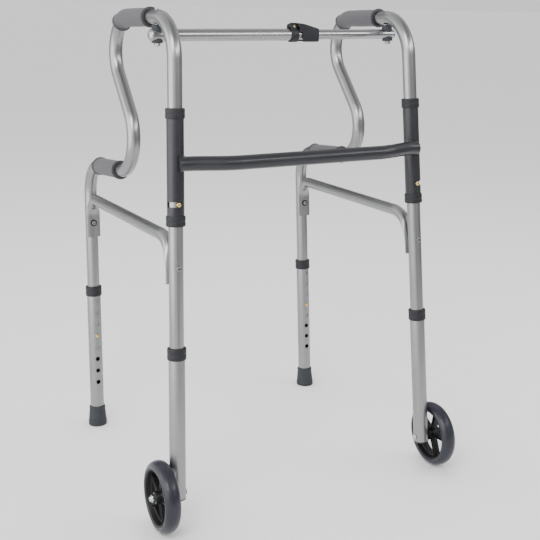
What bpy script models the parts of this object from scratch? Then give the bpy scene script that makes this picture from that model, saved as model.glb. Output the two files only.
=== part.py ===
"""Folding walking frame with two-level handles, front wheels and rear rubber tips.

Metres, +Z up, -Y is the front, +X is to the right of somebody facing the rear.
The origin is on the floor, under the middle of the frame.
Every leg leans, so its pieces are placed in frames whose Z runs up the leg's own axis.
"""
import math

import bmesh
import bpy
from mathutils import Matrix, Vector

MM = 0.001
GAP = 0.3 * MM                      # between pieces that touch

# Leg axes: half spacing and place at the reference height, and how far they lean per metre of height
REFERENCE_HEIGHT = 450 * MM
FRONT_HALF_SPACING = 248 * MM
FRONT_SPLAY = 0.0287
FRONT_Y = -195.6 * MM
FRONT_RAKE = 0.084
REAR_HALF_SPACING = 253 * MM
REAR_SPLAY = 0.0071
REAR_Y = FRONT_Y + 470 * MM
REAR_RAKE = 0.0673

# Tubes
TUBE_RADIUS = 12.7 * MM
TUBE_WALL = 1.3 * MM
LEG_RADIUS = 14.3 * MM
LEG_BORE = 13.15 * MM
SLEEVE_RADIUS = 15.0 * MM
SLEEVE_BORE = 13.35 * MM
BRACE_RADIUS = 11.1 * MM
TUBE_SIDES = 12
ROUND_STEPS = 18
SMALL_STEPS = 12

# Side frame: corners of the bent tube (distance behind the front leg's reference, height) and bend radii
UPPER_FRONT_CORNER_Z = 884.7 * MM
UPPER_REAR_CORNER = (394.5 * MM, 869.3 * MM)
LOWER_FRONT_CORNER = (140 * MM, 597.6 * MM)
LOWER_REAR_CORNER_Z = 564 * MM
BEND_RADII = (75 * MM, 65 * MM, 68 * MM, 65 * MM)
FRONT_TUBE_END_Z = 178 * MM
REAR_TUBE_END_Z = 159 * MM
BEND_STEP = math.radians(20)

# Grips
GRIP_RADIUS = 16.8 * MM
GRIP_BORE = 13.5 * MM
UPPER_GRIP = (139 * MM, 287 * MM)   # behind the front leg's reference
LOWER_GRIP = (280 * MM, 411 * MM)

# Front frame
SLEEVE_Z = (536 * MM, 728.5 * MM)
SLEEVE_COLLAR_RADIUS = 16.9 * MM
SLEEVE_COLLAR_HEIGHT = 18 * MM
COLLAR_LIP = 4 * MM
CROSSBAR_Z = 640.5 * MM
CROSSBAR_RADIUS = 12.7 * MM
CROSSBAR_END_Y = 17 * MM            # in front of the sleeve's axis
CROSSBAR_BOW = 24 * MM
SLOT_HEIGHT = 9.4 * MM

# Lower legs
HOLE_PITCH = 25.4 * MM
HOLE_COUNT = 8
HOLES_ABOVE_BUTTON = 3
HOLE_RADIUS = 4.6 * MM
TUBE_HOLE_RADIUS = 4.4 * MM
BUTTON_RADIUS = 3.9 * MM
SLEEVE_BUTTON_Z = 570 * MM
FRONT_BUTTON_Z = 216 * MM
REAR_BUTTON_Z = 197 * MM
FRONT_COLLAR_Z = 311 * MM
REAR_COLLAR_Z = 293 * MM
LEG_COLLAR_RADIUS = 16.8 * MM
LEG_COLLAR_HEIGHT = 21 * MM
FRONT_LEG_BOTTOM_Z = 54 * MM
REAR_LEG_BOTTOM_Z = 8 * MM
TIP_RADIUS = 19.4 * MM
TIP_TOP_RADIUS = 16.7 * MM
TIP_HEIGHT = 41 * MM

# Wheels
WHEEL_RADIUS = 62.5 * MM
WHEEL_OFFSET = 29 * MM              # from the leg's axis to the wheel's middle plane
HUB_RADIUS = 49 * MM
TYRE_WIDTH = 29.6 * MM
HUB_HALF_LENGTH = 14 * MM
SPOKES = 5
OPENING_TURN = math.radians(23)     # from straight up to the middle of the first opening, rearwards
AXLE_RADIUS = 4.0 * MM

# Brace between the legs of one side
BRACE_FRONT_Z = (430 * MM, 460 * MM)        # lower end, screw
BRACE_REAR_Z = (412 * MM, 441 * MM)
BRACE_Z = (505.5 * MM, 493.5 * MM)              # centre line near the front leg, near the rear leg
FLAT_HALF_WIDTH = 14.2 * MM
FLAT_HALF_THICKNESS = 3.0 * MM
SCREW_RADIUS = 2.6 * MM

# Top bar
BAR_Z = 850 * MM
BAR_Y = FRONT_Y + 109 * MM
OUTER_BAR_RADIUS = 11.1 * MM
OUTER_BAR_BORE = 10.0 * MM
INNER_BAR_RADIUS = 9.5 * MM
INNER_BAR_BORE = 8.2 * MM
BAR_END_X = 255.2 * MM
OUTER_BAR_RIGHT_X = 34 * MM
INNER_BAR_LEFT_X = -20 * MM
BOLT_RADIUS = 3.2 * MM
PIN_X = 26 * MM
PIN_Z = BAR_Z + 15.5 * MM
PIN_RADIUS = 1.9 * MM
CLIP_RING_X = (21.5 * MM, 36 * MM)
SADDLE_X = (44 * MM, 78 * MM)

SIDES = {"left": -1, "right": 1}


# ---------------------------------------------------------------- scene helpers

def clear_scene():
    for obj in list(bpy.data.objects):
        bpy.data.objects.remove(obj, do_unlink=True)


def make_collection(name):
    collection = bpy.data.collections.new(name)
    bpy.context.scene.collection.children.link(collection)
    return collection


def material(name, colour, roughness, metallic):
    mat = bpy.data.materials.new(name)
    mat.use_nodes = True
    shader = mat.node_tree.nodes["Principled BSDF"]
    shader.inputs["Base Color"].default_value = (*colour, 1.0)
    shader.inputs["Roughness"].default_value = roughness
    shader.inputs["Metallic"].default_value = metallic
    return mat


def link_object(name, mesh, frame, finish, body=None):
    """A part: its mesh in its own frame, riding on the empty of the body that it belongs to."""
    obj = bpy.data.objects.new(name, mesh)
    parts.objects.link(obj)
    if finish is not None:
        mesh.materials.clear()
        mesh.materials.append(finish)
    if body is not None:
        obj.parent = body
        obj.matrix_parent_inverse = body.matrix_basis.inverted()
    obj.matrix_basis = frame
    return obj


def body_empty(name, frame):
    """An empty on a joint's axis, which the pieces of one moving body hang from."""
    empty = bpy.data.objects.new(name, None)
    parts.objects.link(empty)
    empty.empty_display_size = 0.03
    empty.matrix_basis = frame
    return empty


def shade_round(mesh, angle=40):
    mesh.shade_smooth()
    mesh.set_sharp_from_angle(angle=math.radians(angle))


# ---------------------------------------------------------------- frames on the legs

def leg_axis(side, rear, height):
    """Point on a leg's axis at a height above the floor."""
    drop = REFERENCE_HEIGHT - height
    if rear:
        return Vector((side * (REAR_HALF_SPACING + REAR_SPLAY * drop), REAR_Y - REAR_RAKE * drop, height))
    return Vector((side * (FRONT_HALF_SPACING + FRONT_SPLAY * drop), FRONT_Y - FRONT_RAKE * drop, height))


def leg_frame(side, rear, height, offset=(0, 0, 0)):
    """Frame on a leg's axis: Z up the leg, X to the right, Y to the rear."""
    up = (leg_axis(side, rear, 1.0) - leg_axis(side, rear, 0.0)).normalized()
    right = (Vector((1, 0, 0)) - up * up.x).normalized()
    rotation = Matrix((right, up.cross(right), up)).transposed().to_4x4()
    return Matrix.Translation(leg_axis(side, rear, height)) @ rotation @ Matrix.Translation(offset)


def facing_front(frame):
    return frame @ Matrix.Rotation(math.radians(90), 4, "X")


def facing_rear(frame):
    return frame @ Matrix.Rotation(math.radians(-90), 4, "X")


def facing_out(frame, side):
    return frame @ Matrix.Rotation(math.radians(90 * side), 4, "Y")


def side_point(side, y, z):
    """Point of the side frame's surface, which joins the front leg's axis to the rear leg's."""
    front = leg_axis(side, False, z)
    rear = leg_axis(side, True, z)
    share = (y - front.y) / (rear.y - front.y)
    return Vector((front.x + (rear.x - front.x) * share, y, z))


def bolt_frame(side, height):
    """Frame on the pivot bolt under an upper handle: Z parallel to the front leg."""
    pivot = side_point(side, BAR_Y, BAR_Z)
    rotation = leg_frame(side, False, 0).to_3x3().to_4x4()
    return Matrix.Translation(pivot) @ rotation @ Matrix.Translation((0, 0, height))


def bar_frame(x, z=BAR_Z):
    return Matrix.Translation((x, BAR_Y, z))


# ---------------------------------------------------------------- shapes

def turned_mesh(name, profile, steps=ROUND_STEPS, ring=False):
    """Solid of revolution about Z. The (radius, height) profile runs down the outer side."""
    mesh = bpy.data.meshes.new(name)
    count = len(profile)
    edges = [(i, i + 1) for i in range(count - 1)]
    if ring:
        edges.append((count - 1, 0))
    mesh.from_pydata([(radius, 0, height) for radius, height in profile], edges, [])
    guide = bpy.data.objects.new(name + "_guide", mesh)
    cutters.objects.link(guide)
    screw = guide.modifiers.new("screw", "SCREW")
    screw.steps = steps
    screw.render_steps = steps
    screw.use_merge_vertices = True
    screw.merge_threshold = 0.00001
    return evaluated_mesh(guide, name)


def evaluated_mesh(guide, name):
    """The guide's mesh with its modifiers applied; the guide is removed."""
    bpy.context.view_layer.update()
    graph = bpy.context.evaluated_depsgraph_get()
    mesh = bpy.data.meshes.new_from_object(guide.evaluated_get(graph))
    mesh.name = name
    bpy.data.objects.remove(guide, do_unlink=True)
    bm = bmesh.new()
    bm.from_mesh(mesh)
    bmesh.ops.remove_doubles(bm, verts=bm.verts, dist=0.00001)
    bm.to_mesh(mesh)
    bm.free()
    shade_round(mesh)
    return mesh


def swept_mesh(name, points, radius, wall=None, sides=TUBE_SIDES):
    """Round rod along the points, or an open-ended tube when it has a wall."""
    curve = bpy.data.curves.new(name, "CURVE")
    curve.dimensions = "3D"
    curve.bevel_depth = radius
    curve.bevel_resolution = sides // 2 - 2
    curve.use_fill_caps = wall is None
    spline = curve.splines.new("POLY")
    spline.points.add(len(points) - 1)
    for spline_point, point in zip(spline.points, points):
        spline_point.co = (*point, 1.0)
    guide = bpy.data.objects.new(name + "_guide", curve)
    cutters.objects.link(guide)
    if wall is not None:
        mesh = evaluated_mesh(guide, name)
        guide = bpy.data.objects.new(name + "_guide", mesh)
        cutters.objects.link(guide)
        solidify = guide.modifiers.new("wall", "SOLIDIFY")
        solidify.thickness = wall
        solidify.offset = -1
    return evaluated_mesh(guide, name)


def tube_profile(outer, bore, bottom, top, chamfer=0.0):
    return [(outer - chamfer, top), (outer, top - chamfer), (outer, bottom + chamfer),
            (outer - chamfer, bottom), (bore, bottom), (bore, top)]


def rounded_path(corners, radii):
    """Straight runs between corners (y, z), with an arc of its own radius round each inner corner."""
    path = [Vector(corners[0])]
    for before, corner, after, radius in zip(corners, corners[1:], corners[2:], radii):
        corner = Vector(corner)
        arrive = (corner - Vector(before)).normalized()
        leave = (Vector(after) - corner).normalized()
        turn = math.atan2(arrive.x * leave.y - arrive.y * leave.x, arrive.dot(leave))
        start = corner - arrive * radius * math.tan(abs(turn) / 2)
        to_centre = Vector((-arrive.y, arrive.x)) * math.copysign(radius, turn)
        steps = math.ceil(abs(turn) / BEND_STEP)
        for step in range(steps + 1):
            spoke = -to_centre
            spoke.rotate(Matrix.Rotation(turn * step / steps, 2))
            path.append(start + to_centre + spoke)
    path.append(Vector(corners[-1]))
    return path


def between(path, start, end):
    """The stretch of a path of (y, z) points where y runs from start to end, rearwards."""
    inside = [point for point in path if start < point.x < end]
    return [at_y(path, start)] + inside + [at_y(path, end)]


def at_y(path, y):
    for first, second in zip(path, path[1:]):
        if first.x <= y <= second.x:
            return first.lerp(second, (y - first.x) / (second.x - first.x))
    raise ValueError("the path doesn't reach this y")


def box_mesh(name, low, high):
    mesh = bpy.data.meshes.new(name)
    bm = bmesh.new()
    size = Vector(high) - Vector(low)
    middle = (Vector(high) + Vector(low)) / 2
    bmesh.ops.create_cube(bm, size=1.0, matrix=Matrix.Translation(middle) @ Matrix.Diagonal((*size, 1.0)))
    bm.to_mesh(mesh)
    bm.free()
    return mesh


def rods_mesh(name, frames, radius, length, sides=SMALL_STEPS):
    """Equal rods, each starting at its frame's origin and running along the frame's Z."""
    mesh = bpy.data.meshes.new(name)
    bm = bmesh.new()
    for frame in frames:
        middle = frame @ Matrix.Translation((0, 0, length / 2))
        bmesh.ops.create_cone(bm, cap_ends=True, segments=sides, radius1=radius, radius2=radius,
                              depth=length, matrix=middle)
    bm.to_mesh(mesh)
    bm.free()
    return mesh


def outline_mesh(name, outlines, thickness):
    """Flat outlines in X and Y, thickened equally above and below them."""
    curve = bpy.data.curves.new(name, "CURVE")
    curve.dimensions = "2D"
    curve.fill_mode = "BOTH"
    curve.extrude = thickness / 2
    for points in outlines:
        spline = curve.splines.new("POLY")
        spline.points.add(len(points) - 1)
        for spline_point, point in zip(spline.points, points):
            spline_point.co = (*point, 0.0, 1.0)
        spline.use_cyclic_u = True
    guide = bpy.data.objects.new(name + "_guide", curve)
    cutters.objects.link(guide)
    return evaluated_mesh(guide, name)


def boolean(obj, name, mesh, frame=None, operation="DIFFERENCE"):
    """Cuts the mesh out of the object, or joins it on; the tool stays in the cutters' collection."""
    tool = bpy.data.objects.new(f"{obj.name}_{name}", mesh)
    cutters.objects.link(tool)
    tool.matrix_basis = frame or Matrix.Identity(4)
    tool.hide_render = True
    tool.display_type = "WIRE"
    modifier = obj.modifiers.new(name, "BOOLEAN")
    modifier.operation = operation
    modifier.solver = "EXACT"
    modifier.object = tool


# ---------------------------------------------------------------- front frame

def make_sleeve(label, side):
    frame = leg_frame(side, False, SLEEVE_Z[0])
    length = (SLEEVE_Z[1] - SLEEVE_Z[0]) / frame.col[2].z
    mesh = turned_mesh(f"{label}_sleeve", tube_profile(SLEEVE_RADIUS, SLEEVE_BORE, 0, length), ring=True)
    sleeve = link_object(f"{label}_sleeve", mesh, frame, painted)
    slot_end = 5.2 * MM
    reach = 20 * MM
    low_x, high_x = sorted((-side * slot_end, side * reach))
    slot = box_mesh("slot", (low_x, -reach, -SLOT_HEIGHT / 2), (high_x, 0, SLOT_HEIGHT / 2))
    boolean(sleeve, "slot", slot, leg_frame(side, False, SLEEVE_BUTTON_Z))


def make_sleeve_collar(label, side, end, height, flip):
    """A moulded ring over one end of a sleeve; its lip runs on the leg tube."""
    outer = SLEEVE_COLLAR_RADIUS
    seat = SLEEVE_RADIUS + GAP
    chamfer = 1.6 * MM
    profile = [(outer - chamfer, COLLAR_LIP), (outer, COLLAR_LIP - chamfer),
               (outer, COLLAR_LIP - SLEEVE_COLLAR_HEIGHT + chamfer),
               (outer - chamfer, COLLAR_LIP - SLEEVE_COLLAR_HEIGHT),
               (seat, COLLAR_LIP - SLEEVE_COLLAR_HEIGHT), (seat, GAP), (SLEEVE_BORE, GAP),
               (SLEEVE_BORE, COLLAR_LIP)]
    name = f"{label}_sleeve_{end}_collar"
    mesh = turned_mesh(name, profile, ring=True)
    turn = Matrix.Rotation(math.pi, 4, "X") if flip else Matrix.Identity(4)
    link_object(name, mesh, leg_frame(side, False, height) @ turn, plastic)


def make_crossbar():
    """A forward-bowed tube whose ends are coped to the fronts of the sleeves."""
    end = leg_axis(1, False, CROSSBAR_Z)
    end_y = end.y - CROSSBAR_END_Y
    straight = 0.6 * end.x
    points = [Vector((-end.x, end_y, CROSSBAR_Z))]
    bends = 6
    for step in range(1, bends + 1):
        share = step / bends
        bow = CROSSBAR_BOW * (1 - math.cos(math.pi * share)) / 2
        points.append(Vector((-end.x + (end.x - straight) * share, end_y - bow, CROSSBAR_Z)))
    points += [Vector((-point.x, point.y, point.z)) for point in reversed(points)]
    mesh = swept_mesh("front_crossbar", points, CROSSBAR_RADIUS, 1.6 * MM)
    crossbar = link_object("front_crossbar", mesh, Matrix.Identity(4), painted)
    for label, side in SIDES.items():
        low = leg_frame(side, False, CROSSBAR_Z - 40 * MM)
        rod = rods_mesh("cope", [Matrix.Identity(4)], SLEEVE_RADIUS + GAP, 80 * MM, ROUND_STEPS)
        boolean(crossbar, f"{label}_cope", rod, low)
        beyond = box_mesh("end", (0, -40 * MM, -40 * MM), (40 * MM, 40 * MM, 40 * MM))
        flip = Matrix.Rotation(0 if side > 0 else math.pi, 4, "Z")
        frame = Matrix.Translation(leg_axis(side, False, CROSSBAR_Z)) @ flip
        boolean(crossbar, f"{label}_end", beyond, frame)


# ---------------------------------------------------------------- side frames

def side_path():
    """Centre line of one bent side tube, as (y, z) points from the front leg to the rear leg."""
    corners = [
        leg_axis(1, False, FRONT_TUBE_END_Z).yz,
        leg_axis(1, False, UPPER_FRONT_CORNER_Z).yz,
        (FRONT_Y + UPPER_REAR_CORNER[0], UPPER_REAR_CORNER[1]),
        (FRONT_Y + LOWER_FRONT_CORNER[0], LOWER_FRONT_CORNER[1]),
        leg_axis(1, True, LOWER_REAR_CORNER_Z).yz,
        leg_axis(1, True, REAR_TUBE_END_Z).yz]
    return rounded_path(corners, BEND_RADII)


def on_side(side, path):
    return [side_point(side, point.x, point.y) for point in path]


def make_side_tube(label, side, body):
    mesh = swept_mesh(f"{label}_side_tube", on_side(side, side_path()), TUBE_RADIUS, TUBE_WALL)
    tube = link_object(f"{label}_side_tube", mesh, Matrix.Identity(4), aluminium, body)
    reach = 20 * MM
    button_holes = [facing_front(leg_frame(side, False, SLEEVE_BUTTON_Z)),
                    facing_rear(leg_frame(side, False, FRONT_BUTTON_Z)),
                    facing_front(leg_frame(side, True, REAR_BUTTON_Z))]
    boolean(tube, "button_holes", rods_mesh("holes", button_holes, TUBE_HOLE_RADIUS, reach))
    screw_holes = [facing_front(leg_frame(side, False, BRACE_FRONT_Z[1], (0, reach, 0))),
                   facing_front(leg_frame(side, True, BRACE_REAR_Z[1]))]
    boolean(tube, "screw_holes", rods_mesh("holes", screw_holes, SCREW_RADIUS + GAP, 2 * reach))
    boolean(tube, "bolt_hole", rods_mesh("hole", [bolt_frame(side, 10 * MM)], BOLT_RADIUS + GAP, 50 * MM))


def make_grip(label, side, body, which, span, path):
    """A soft sleeve over one handle; plain here."""
    name = f"{label}_{which}_grip"
    stretch = between(path, FRONT_Y + span[0], FRONT_Y + span[1])
    mesh = swept_mesh(name, on_side(side, stretch), GRIP_RADIUS, GRIP_RADIUS - GRIP_BORE)
    link_object(name, mesh, Matrix.Identity(4), foam, body)


def handle_paths():
    """The upper and lower handle stretches of the side path, each running rearwards."""
    path = side_path()
    rearmost = max(range(len(path) // 2), key=lambda index: path[index].x)
    foremost = min(range(len(path) // 3, len(path)), key=lambda index: path[index].x)
    return path[:rearmost + 1], path[foremost:]


def brace_sections():
    """Centre line of the brace as (point, lengthways direction, flatness) from front end to rear end."""
    offset = TUBE_RADIUS + FLAT_HALF_THICKNESS - 2.6 * MM
    front_low = leg_axis(1, False, BRACE_FRONT_Z[0]).yz + Vector((offset, 0))
    front_top = leg_axis(1, False, BRACE_Z[0]).yz + Vector((offset, 0))
    rear_top = leg_axis(1, True, BRACE_Z[1]).yz - Vector((offset, 0))
    rear_low = leg_axis(1, True, BRACE_REAR_Z[0]).yz - Vector((offset, 0))
    path = rounded_path([front_low, front_top, rear_top, rear_low], (60 * MM, 26 * MM))
    flat_lengths = (38 * MM, 47 * MM)
    blends = (46 * MM, 28 * MM)
    dense = [path[0], path[0].lerp(path[1], 0.6)] + path[1:-1] + [path[-1].lerp(path[-2], 0.6), path[-1]]
    lengths = [0.0]
    for first, second in zip(dense, dense[1:]):
        lengths.append(lengths[-1] + (second - first).length)
    sections = []
    for index, point in enumerate(dense):
        ahead = dense[min(index + 1, len(dense) - 1)] - dense[max(index - 1, 0)]
        from_front = (lengths[index] - flat_lengths[0]) / blends[0]
        from_rear = (lengths[-1] - lengths[index] - flat_lengths[1]) / blends[1]
        roundness = max(0.0, min(1.0, from_front, from_rear))
        sections.append((point, ahead.normalized(), roundness * roundness * (3 - 2 * roundness)))
    return sections


def make_brace(label, side, body):
    """A tube whose ends are bent down, flattened and cupped against the two legs."""
    sides = TUBE_SIDES
    wall = 1.2 * MM
    mesh = bpy.data.meshes.new(f"{label}_brace")
    bm = bmesh.new()
    rings = []
    for point, ahead, roundness in brace_sections():
        wide = FLAT_HALF_WIDTH + (BRACE_RADIUS - FLAT_HALF_WIDTH) * roundness
        thick = FLAT_HALF_THICKNESS + (BRACE_RADIUS - FLAT_HALF_THICKNESS) * roundness
        ring = []
        for index in range(sides):
            angle = 2 * math.pi * index / sides
            across = wide * math.cos(angle)
            upward = thick * math.sin(angle)
            place = side_point(side, point.x - ahead.y * upward, point.y + ahead.x * upward)
            ring.append(bm.verts.new(place + Vector((across, 0, 0))))
        rings.append(ring)
    for first, second in zip(rings, rings[1:]):
        for index in range(sides):
            after = (index + 1) % sides
            bm.faces.new((first[index], second[index], second[after], first[after]))
    bmesh.ops.recalc_face_normals(bm, faces=bm.faces)
    bm.to_mesh(mesh)
    bm.free()
    shade_round(mesh)
    brace = link_object(f"{label}_brace", mesh, Matrix.Identity(4), aluminium, body)
    solidify = brace.modifiers.new("wall", "SOLIDIFY")
    solidify.thickness = wall
    solidify.offset = -1
    clearance = TUBE_RADIUS + GAP
    length = 240 * MM
    for end, rear in (("front", False), ("rear", True)):
        rod = rods_mesh("leg", [Matrix.Identity(4)], clearance, length, ROUND_STEPS)
        boolean(brace, f"{end}_cup", rod, leg_frame(side, rear, 350 * MM))
    reach = 40 * MM
    holes = [facing_rear(leg_frame(side, False, BRACE_FRONT_Z[1])),
             facing_front(leg_frame(side, True, BRACE_REAR_Z[1]))]
    boolean(brace, "screw_holes", rods_mesh("holes", holes, SCREW_RADIUS + GAP, reach))


def screw_mesh(name, head_radius, head_height, length, start):
    """A pan-head screw: the head's top is up, and the shank runs down from the head's underside."""
    rim = 0.6 * MM
    top = start + head_height
    tip = start - length
    profile = [(0, top), (head_radius - 2 * rim, top), (head_radius, top - 2 * rim), (head_radius, start),
               (SCREW_RADIUS, start), (SCREW_RADIUS, tip), (0, tip)]
    return turned_mesh(name, profile, SMALL_STEPS)


def nut_mesh(name, corner_radius, shank_radius, bottom, top):
    """A hexagonal nut whose hole, also six-sided here, is clear of the shank."""
    hole = (shank_radius + GAP) / math.cos(math.pi / 6)
    return turned_mesh(name, tube_profile(corner_radius, hole, bottom, top, 0.6 * MM), 6, ring=True)


def make_brace_fasteners(label, side, body):
    flat = TUBE_RADIUS + GAP
    name = f"{label}_brace_front_screw"
    mesh = screw_mesh(name, 4.6 * MM, 2.6 * MM, 31.5 * MM, flat)
    link_object(name, mesh, facing_front(leg_frame(side, False, BRACE_FRONT_Z[1])), steel, body)
    outside = TUBE_RADIUS + 2 * FLAT_HALF_THICKNESS - 2.6 * MM + GAP
    washer = 1.6 * MM
    name = f"{label}_brace_rear_washer"
    profile = tube_profile(6.8 * MM, SCREW_RADIUS + GAP, 0, washer, 0.4 * MM)
    mesh = turned_mesh(name, profile, SMALL_STEPS, ring=True)
    frame = facing_front(leg_frame(side, True, BRACE_REAR_Z[1]))
    link_object(name, mesh, frame @ Matrix.Translation((0, 0, outside)), plastic, body)
    name = f"{label}_brace_rear_screw"
    mesh = screw_mesh(name, 4.2 * MM, 2.4 * MM, 26 * MM, outside + washer + GAP)
    link_object(name, mesh, frame, steel, body)


def make_bar_bolt(label, side, body):
    """The pivot bolt that drops through an upper handle and the end of the top bar, and its nut."""
    handle_top = 44.9 * MM
    nut_top = -13.7 * MM
    shank_end = -19.8 * MM
    head = 5.0 * MM
    name = f"{label}_bar_bolt"
    profile = [(0, handle_top + 1.3 * MM), (head * 0.7, handle_top + 1.0 * MM), (head, handle_top),
               (BOLT_RADIUS, handle_top), (BOLT_RADIUS, shank_end), (0, shank_end)]
    link_object(name, turned_mesh(name, profile, SMALL_STEPS), bolt_frame(side, 0), steel, body)
    name = f"{label}_bar_nut"
    mesh = nut_mesh(name, 5.6 * MM, BOLT_RADIUS, nut_top - 5.2 * MM, nut_top)
    link_object(name, mesh, bolt_frame(side, 0), steel, body)


# ---------------------------------------------------------------- snap buttons

def make_button(name, frame, body, tip, leaf_down):
    """A button pin on a leaf spring inside the tube; Z points out through the tube's wall."""
    base = 7.5 * MM
    plate = 1.0 * MM
    pin = [(0, tip), (BUTTON_RADIUS * 0.55, tip - 0.5 * MM), (BUTTON_RADIUS, tip - 2.2 * MM),
           (BUTTON_RADIUS, base), (0, base)]
    button = link_object(name, turned_mesh(name, pin, SMALL_STEPS), frame, brass, body)
    leaf_length = 26 * MM * (1 if leaf_down else -1)
    low_y, high_y = sorted((0.0, -leaf_length))
    half_width = 3.4 * MM
    leaf = box_mesh("leaf", (-half_width, low_y, base - plate), (half_width, high_y, base + 0.2 * MM))
    boolean(button, "leaf", leaf, frame, "UNION")


# ---------------------------------------------------------------- lower legs

def hole_frames(side, rear, button_z, face):
    """Frames of the height holes: one per pitch down the leg, on the face with the button."""
    rise = leg_frame(side, rear, 0).col[2].z * HOLE_PITCH
    top = button_z + HOLES_ABOVE_BUTTON * rise
    return [face(leg_frame(side, rear, top - index * rise)) for index in range(HOLE_COUNT)]


def make_lower_leg(label, side, rear, body):
    place = "rear" if rear else "front"
    bottom_z = REAR_LEG_BOTTOM_Z if rear else FRONT_LEG_BOTTOM_Z
    top_z = (REAR_COLLAR_Z if rear else FRONT_COLLAR_Z) + LEG_COLLAR_HEIGHT / 2 - COLLAR_LIP
    frame = leg_frame(side, rear, bottom_z)
    length = (top_z - bottom_z) / frame.col[2].z
    name = f"{label}_{place}_leg"
    leg = link_object(name, turned_mesh(name, tube_profile(LEG_RADIUS, LEG_BORE, 0, length), ring=True),
                      frame, aluminium, body)
    face = facing_front if rear else facing_rear
    button_z = REAR_BUTTON_Z if rear else FRONT_BUTTON_Z
    holes = rods_mesh("holes", hole_frames(side, rear, button_z, face), HOLE_RADIUS, 20 * MM)
    boolean(leg, "height_holes", holes)
    if not rear:
        axle = axle_frame(side) @ Matrix.Translation((0, 0, -20 * MM))
        boolean(leg, "axle_hole", rods_mesh("hole", [axle], AXLE_RADIUS + GAP, 40 * MM))
    make_leg_collar(f"{label}_{place}_leg_collar", leg_frame(side, rear, top_z), body)


def make_leg_collar(name, frame, body):
    """A moulded ring over the top end of a lower leg; its lip runs on the tube above."""
    outer = LEG_COLLAR_RADIUS
    seat = LEG_RADIUS + GAP
    chamfer = 1.8 * MM
    low = COLLAR_LIP - LEG_COLLAR_HEIGHT
    profile = [(outer - chamfer, COLLAR_LIP), (outer, COLLAR_LIP - chamfer), (outer, low + chamfer),
               (outer - chamfer, low), (seat, low), (seat, GAP), (LEG_BORE, GAP), (LEG_BORE, COLLAR_LIP)]
    link_object(name, turned_mesh(name, profile, ring=True), frame, plastic, body)


def make_tip(label, side, body):
    """A rubber tip pushed over the rear leg, with its underside flat on the floor."""
    name = f"{label}_rear_tip"
    seat = LEG_RADIUS + GAP
    floor = (REAR_LEG_BOTTOM_Z / leg_frame(side, True, 0).col[2].z) - GAP
    profile = [(TIP_TOP_RADIUS - 1.2 * MM, TIP_HEIGHT), (TIP_TOP_RADIUS, TIP_HEIGHT - 1.2 * MM),
               (TIP_RADIUS - 0.6 * MM, 14 * MM), (TIP_RADIUS, 2 * MM), (TIP_RADIUS, -4 * MM), (0, -4 * MM),
               (0, floor), (seat, floor), (seat, TIP_HEIGHT)]
    tip = link_object(name, turned_mesh(name, profile, ring=True), leg_frame(side, True, 0), rubber, body)
    ground = leg_axis(side, True, 0)
    reach = 40 * MM
    low = (ground.x - reach, ground.y - reach, -reach)
    boolean(tip, "floor", box_mesh("floor", low, (ground.x + reach, ground.y + reach, 0)))


def make_leg_plug(label, side, body):
    name = f"{label}_leg_end_plug"
    inside = LEG_BORE - GAP
    profile = [(0, 4 * MM), (inside, 4 * MM), (inside, -GAP), (LEG_RADIUS, -GAP), (LEG_RADIUS, -1.6 * MM),
               (LEG_RADIUS * 0.8, -3.2 * MM), (0, -3.8 * MM)]
    frame = leg_frame(side, False, FRONT_LEG_BOTTOM_Z)
    link_object(name, turned_mesh(name, profile), frame, plastic, body)


# ---------------------------------------------------------------- wheels

def axle_frame(side):
    """Frame on the level axle at the leg's axis: Z points outwards."""
    return facing_out(Matrix.Translation(leg_axis(side, False, WHEEL_RADIUS)), side)


def make_axle(label, side, body):
    head = 5.5 * MM
    head_z = -LEG_RADIUS - GAP
    end = WHEEL_OFFSET + HUB_HALF_LENGTH + 11 * MM
    name = f"{label}_axle_bolt"
    profile = [(0, end), (AXLE_RADIUS - 0.6 * MM, end), (AXLE_RADIUS, end - 0.6 * MM), (AXLE_RADIUS, head_z),
               (head, head_z), (head, head_z - 1.0 * MM), (head * 0.6, head_z - 2.0 * MM),
               (0, head_z - 2.2 * MM)]
    link_object(name, turned_mesh(name, profile, SMALL_STEPS), axle_frame(side), steel, body)
    name = f"{label}_axle_nut"
    bottom = WHEEL_OFFSET + HUB_HALF_LENGTH + GAP
    mesh = nut_mesh(name, 7.2 * MM, AXLE_RADIUS, bottom, bottom + 8 * MM)
    link_object(name, mesh, axle_frame(side), steel, body)


def make_wheel(label, side, body):
    frame = axle_frame(side) @ Matrix.Translation((0, 0, WHEEL_OFFSET))
    rim = 13 * MM
    rim_inner = HUB_RADIUS - 3.5 * MM
    web = 2.8 * MM
    boss = 11.5 * MM
    bore = AXLE_RADIUS + GAP
    profile = [(HUB_RADIUS, rim), (HUB_RADIUS, -rim), (rim_inner, -rim), (rim_inner, -web), (boss, -web),
               (boss, -HUB_HALF_LENGTH), (bore, -HUB_HALF_LENGTH), (bore, HUB_HALF_LENGTH),
               (boss, HUB_HALF_LENGTH), (boss, web), (rim_inner, web), (rim_inner, rim)]
    name = f"{label}_wheel_hub"
    hub = link_object(name, turned_mesh(name, profile, 24, ring=True), frame, hub_plastic, body)
    turn = OPENING_TURN if side < 0 else math.pi - OPENING_TURN
    boolean(hub, "openings", spoke_openings(boss + 4 * MM, rim_inner - 2.5 * MM, turn), frame)
    name = f"{label}_tyre"
    link_object(name, turned_mesh(name, tyre_profile(), 28, ring=True), frame, tyre_rubber, body)


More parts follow.
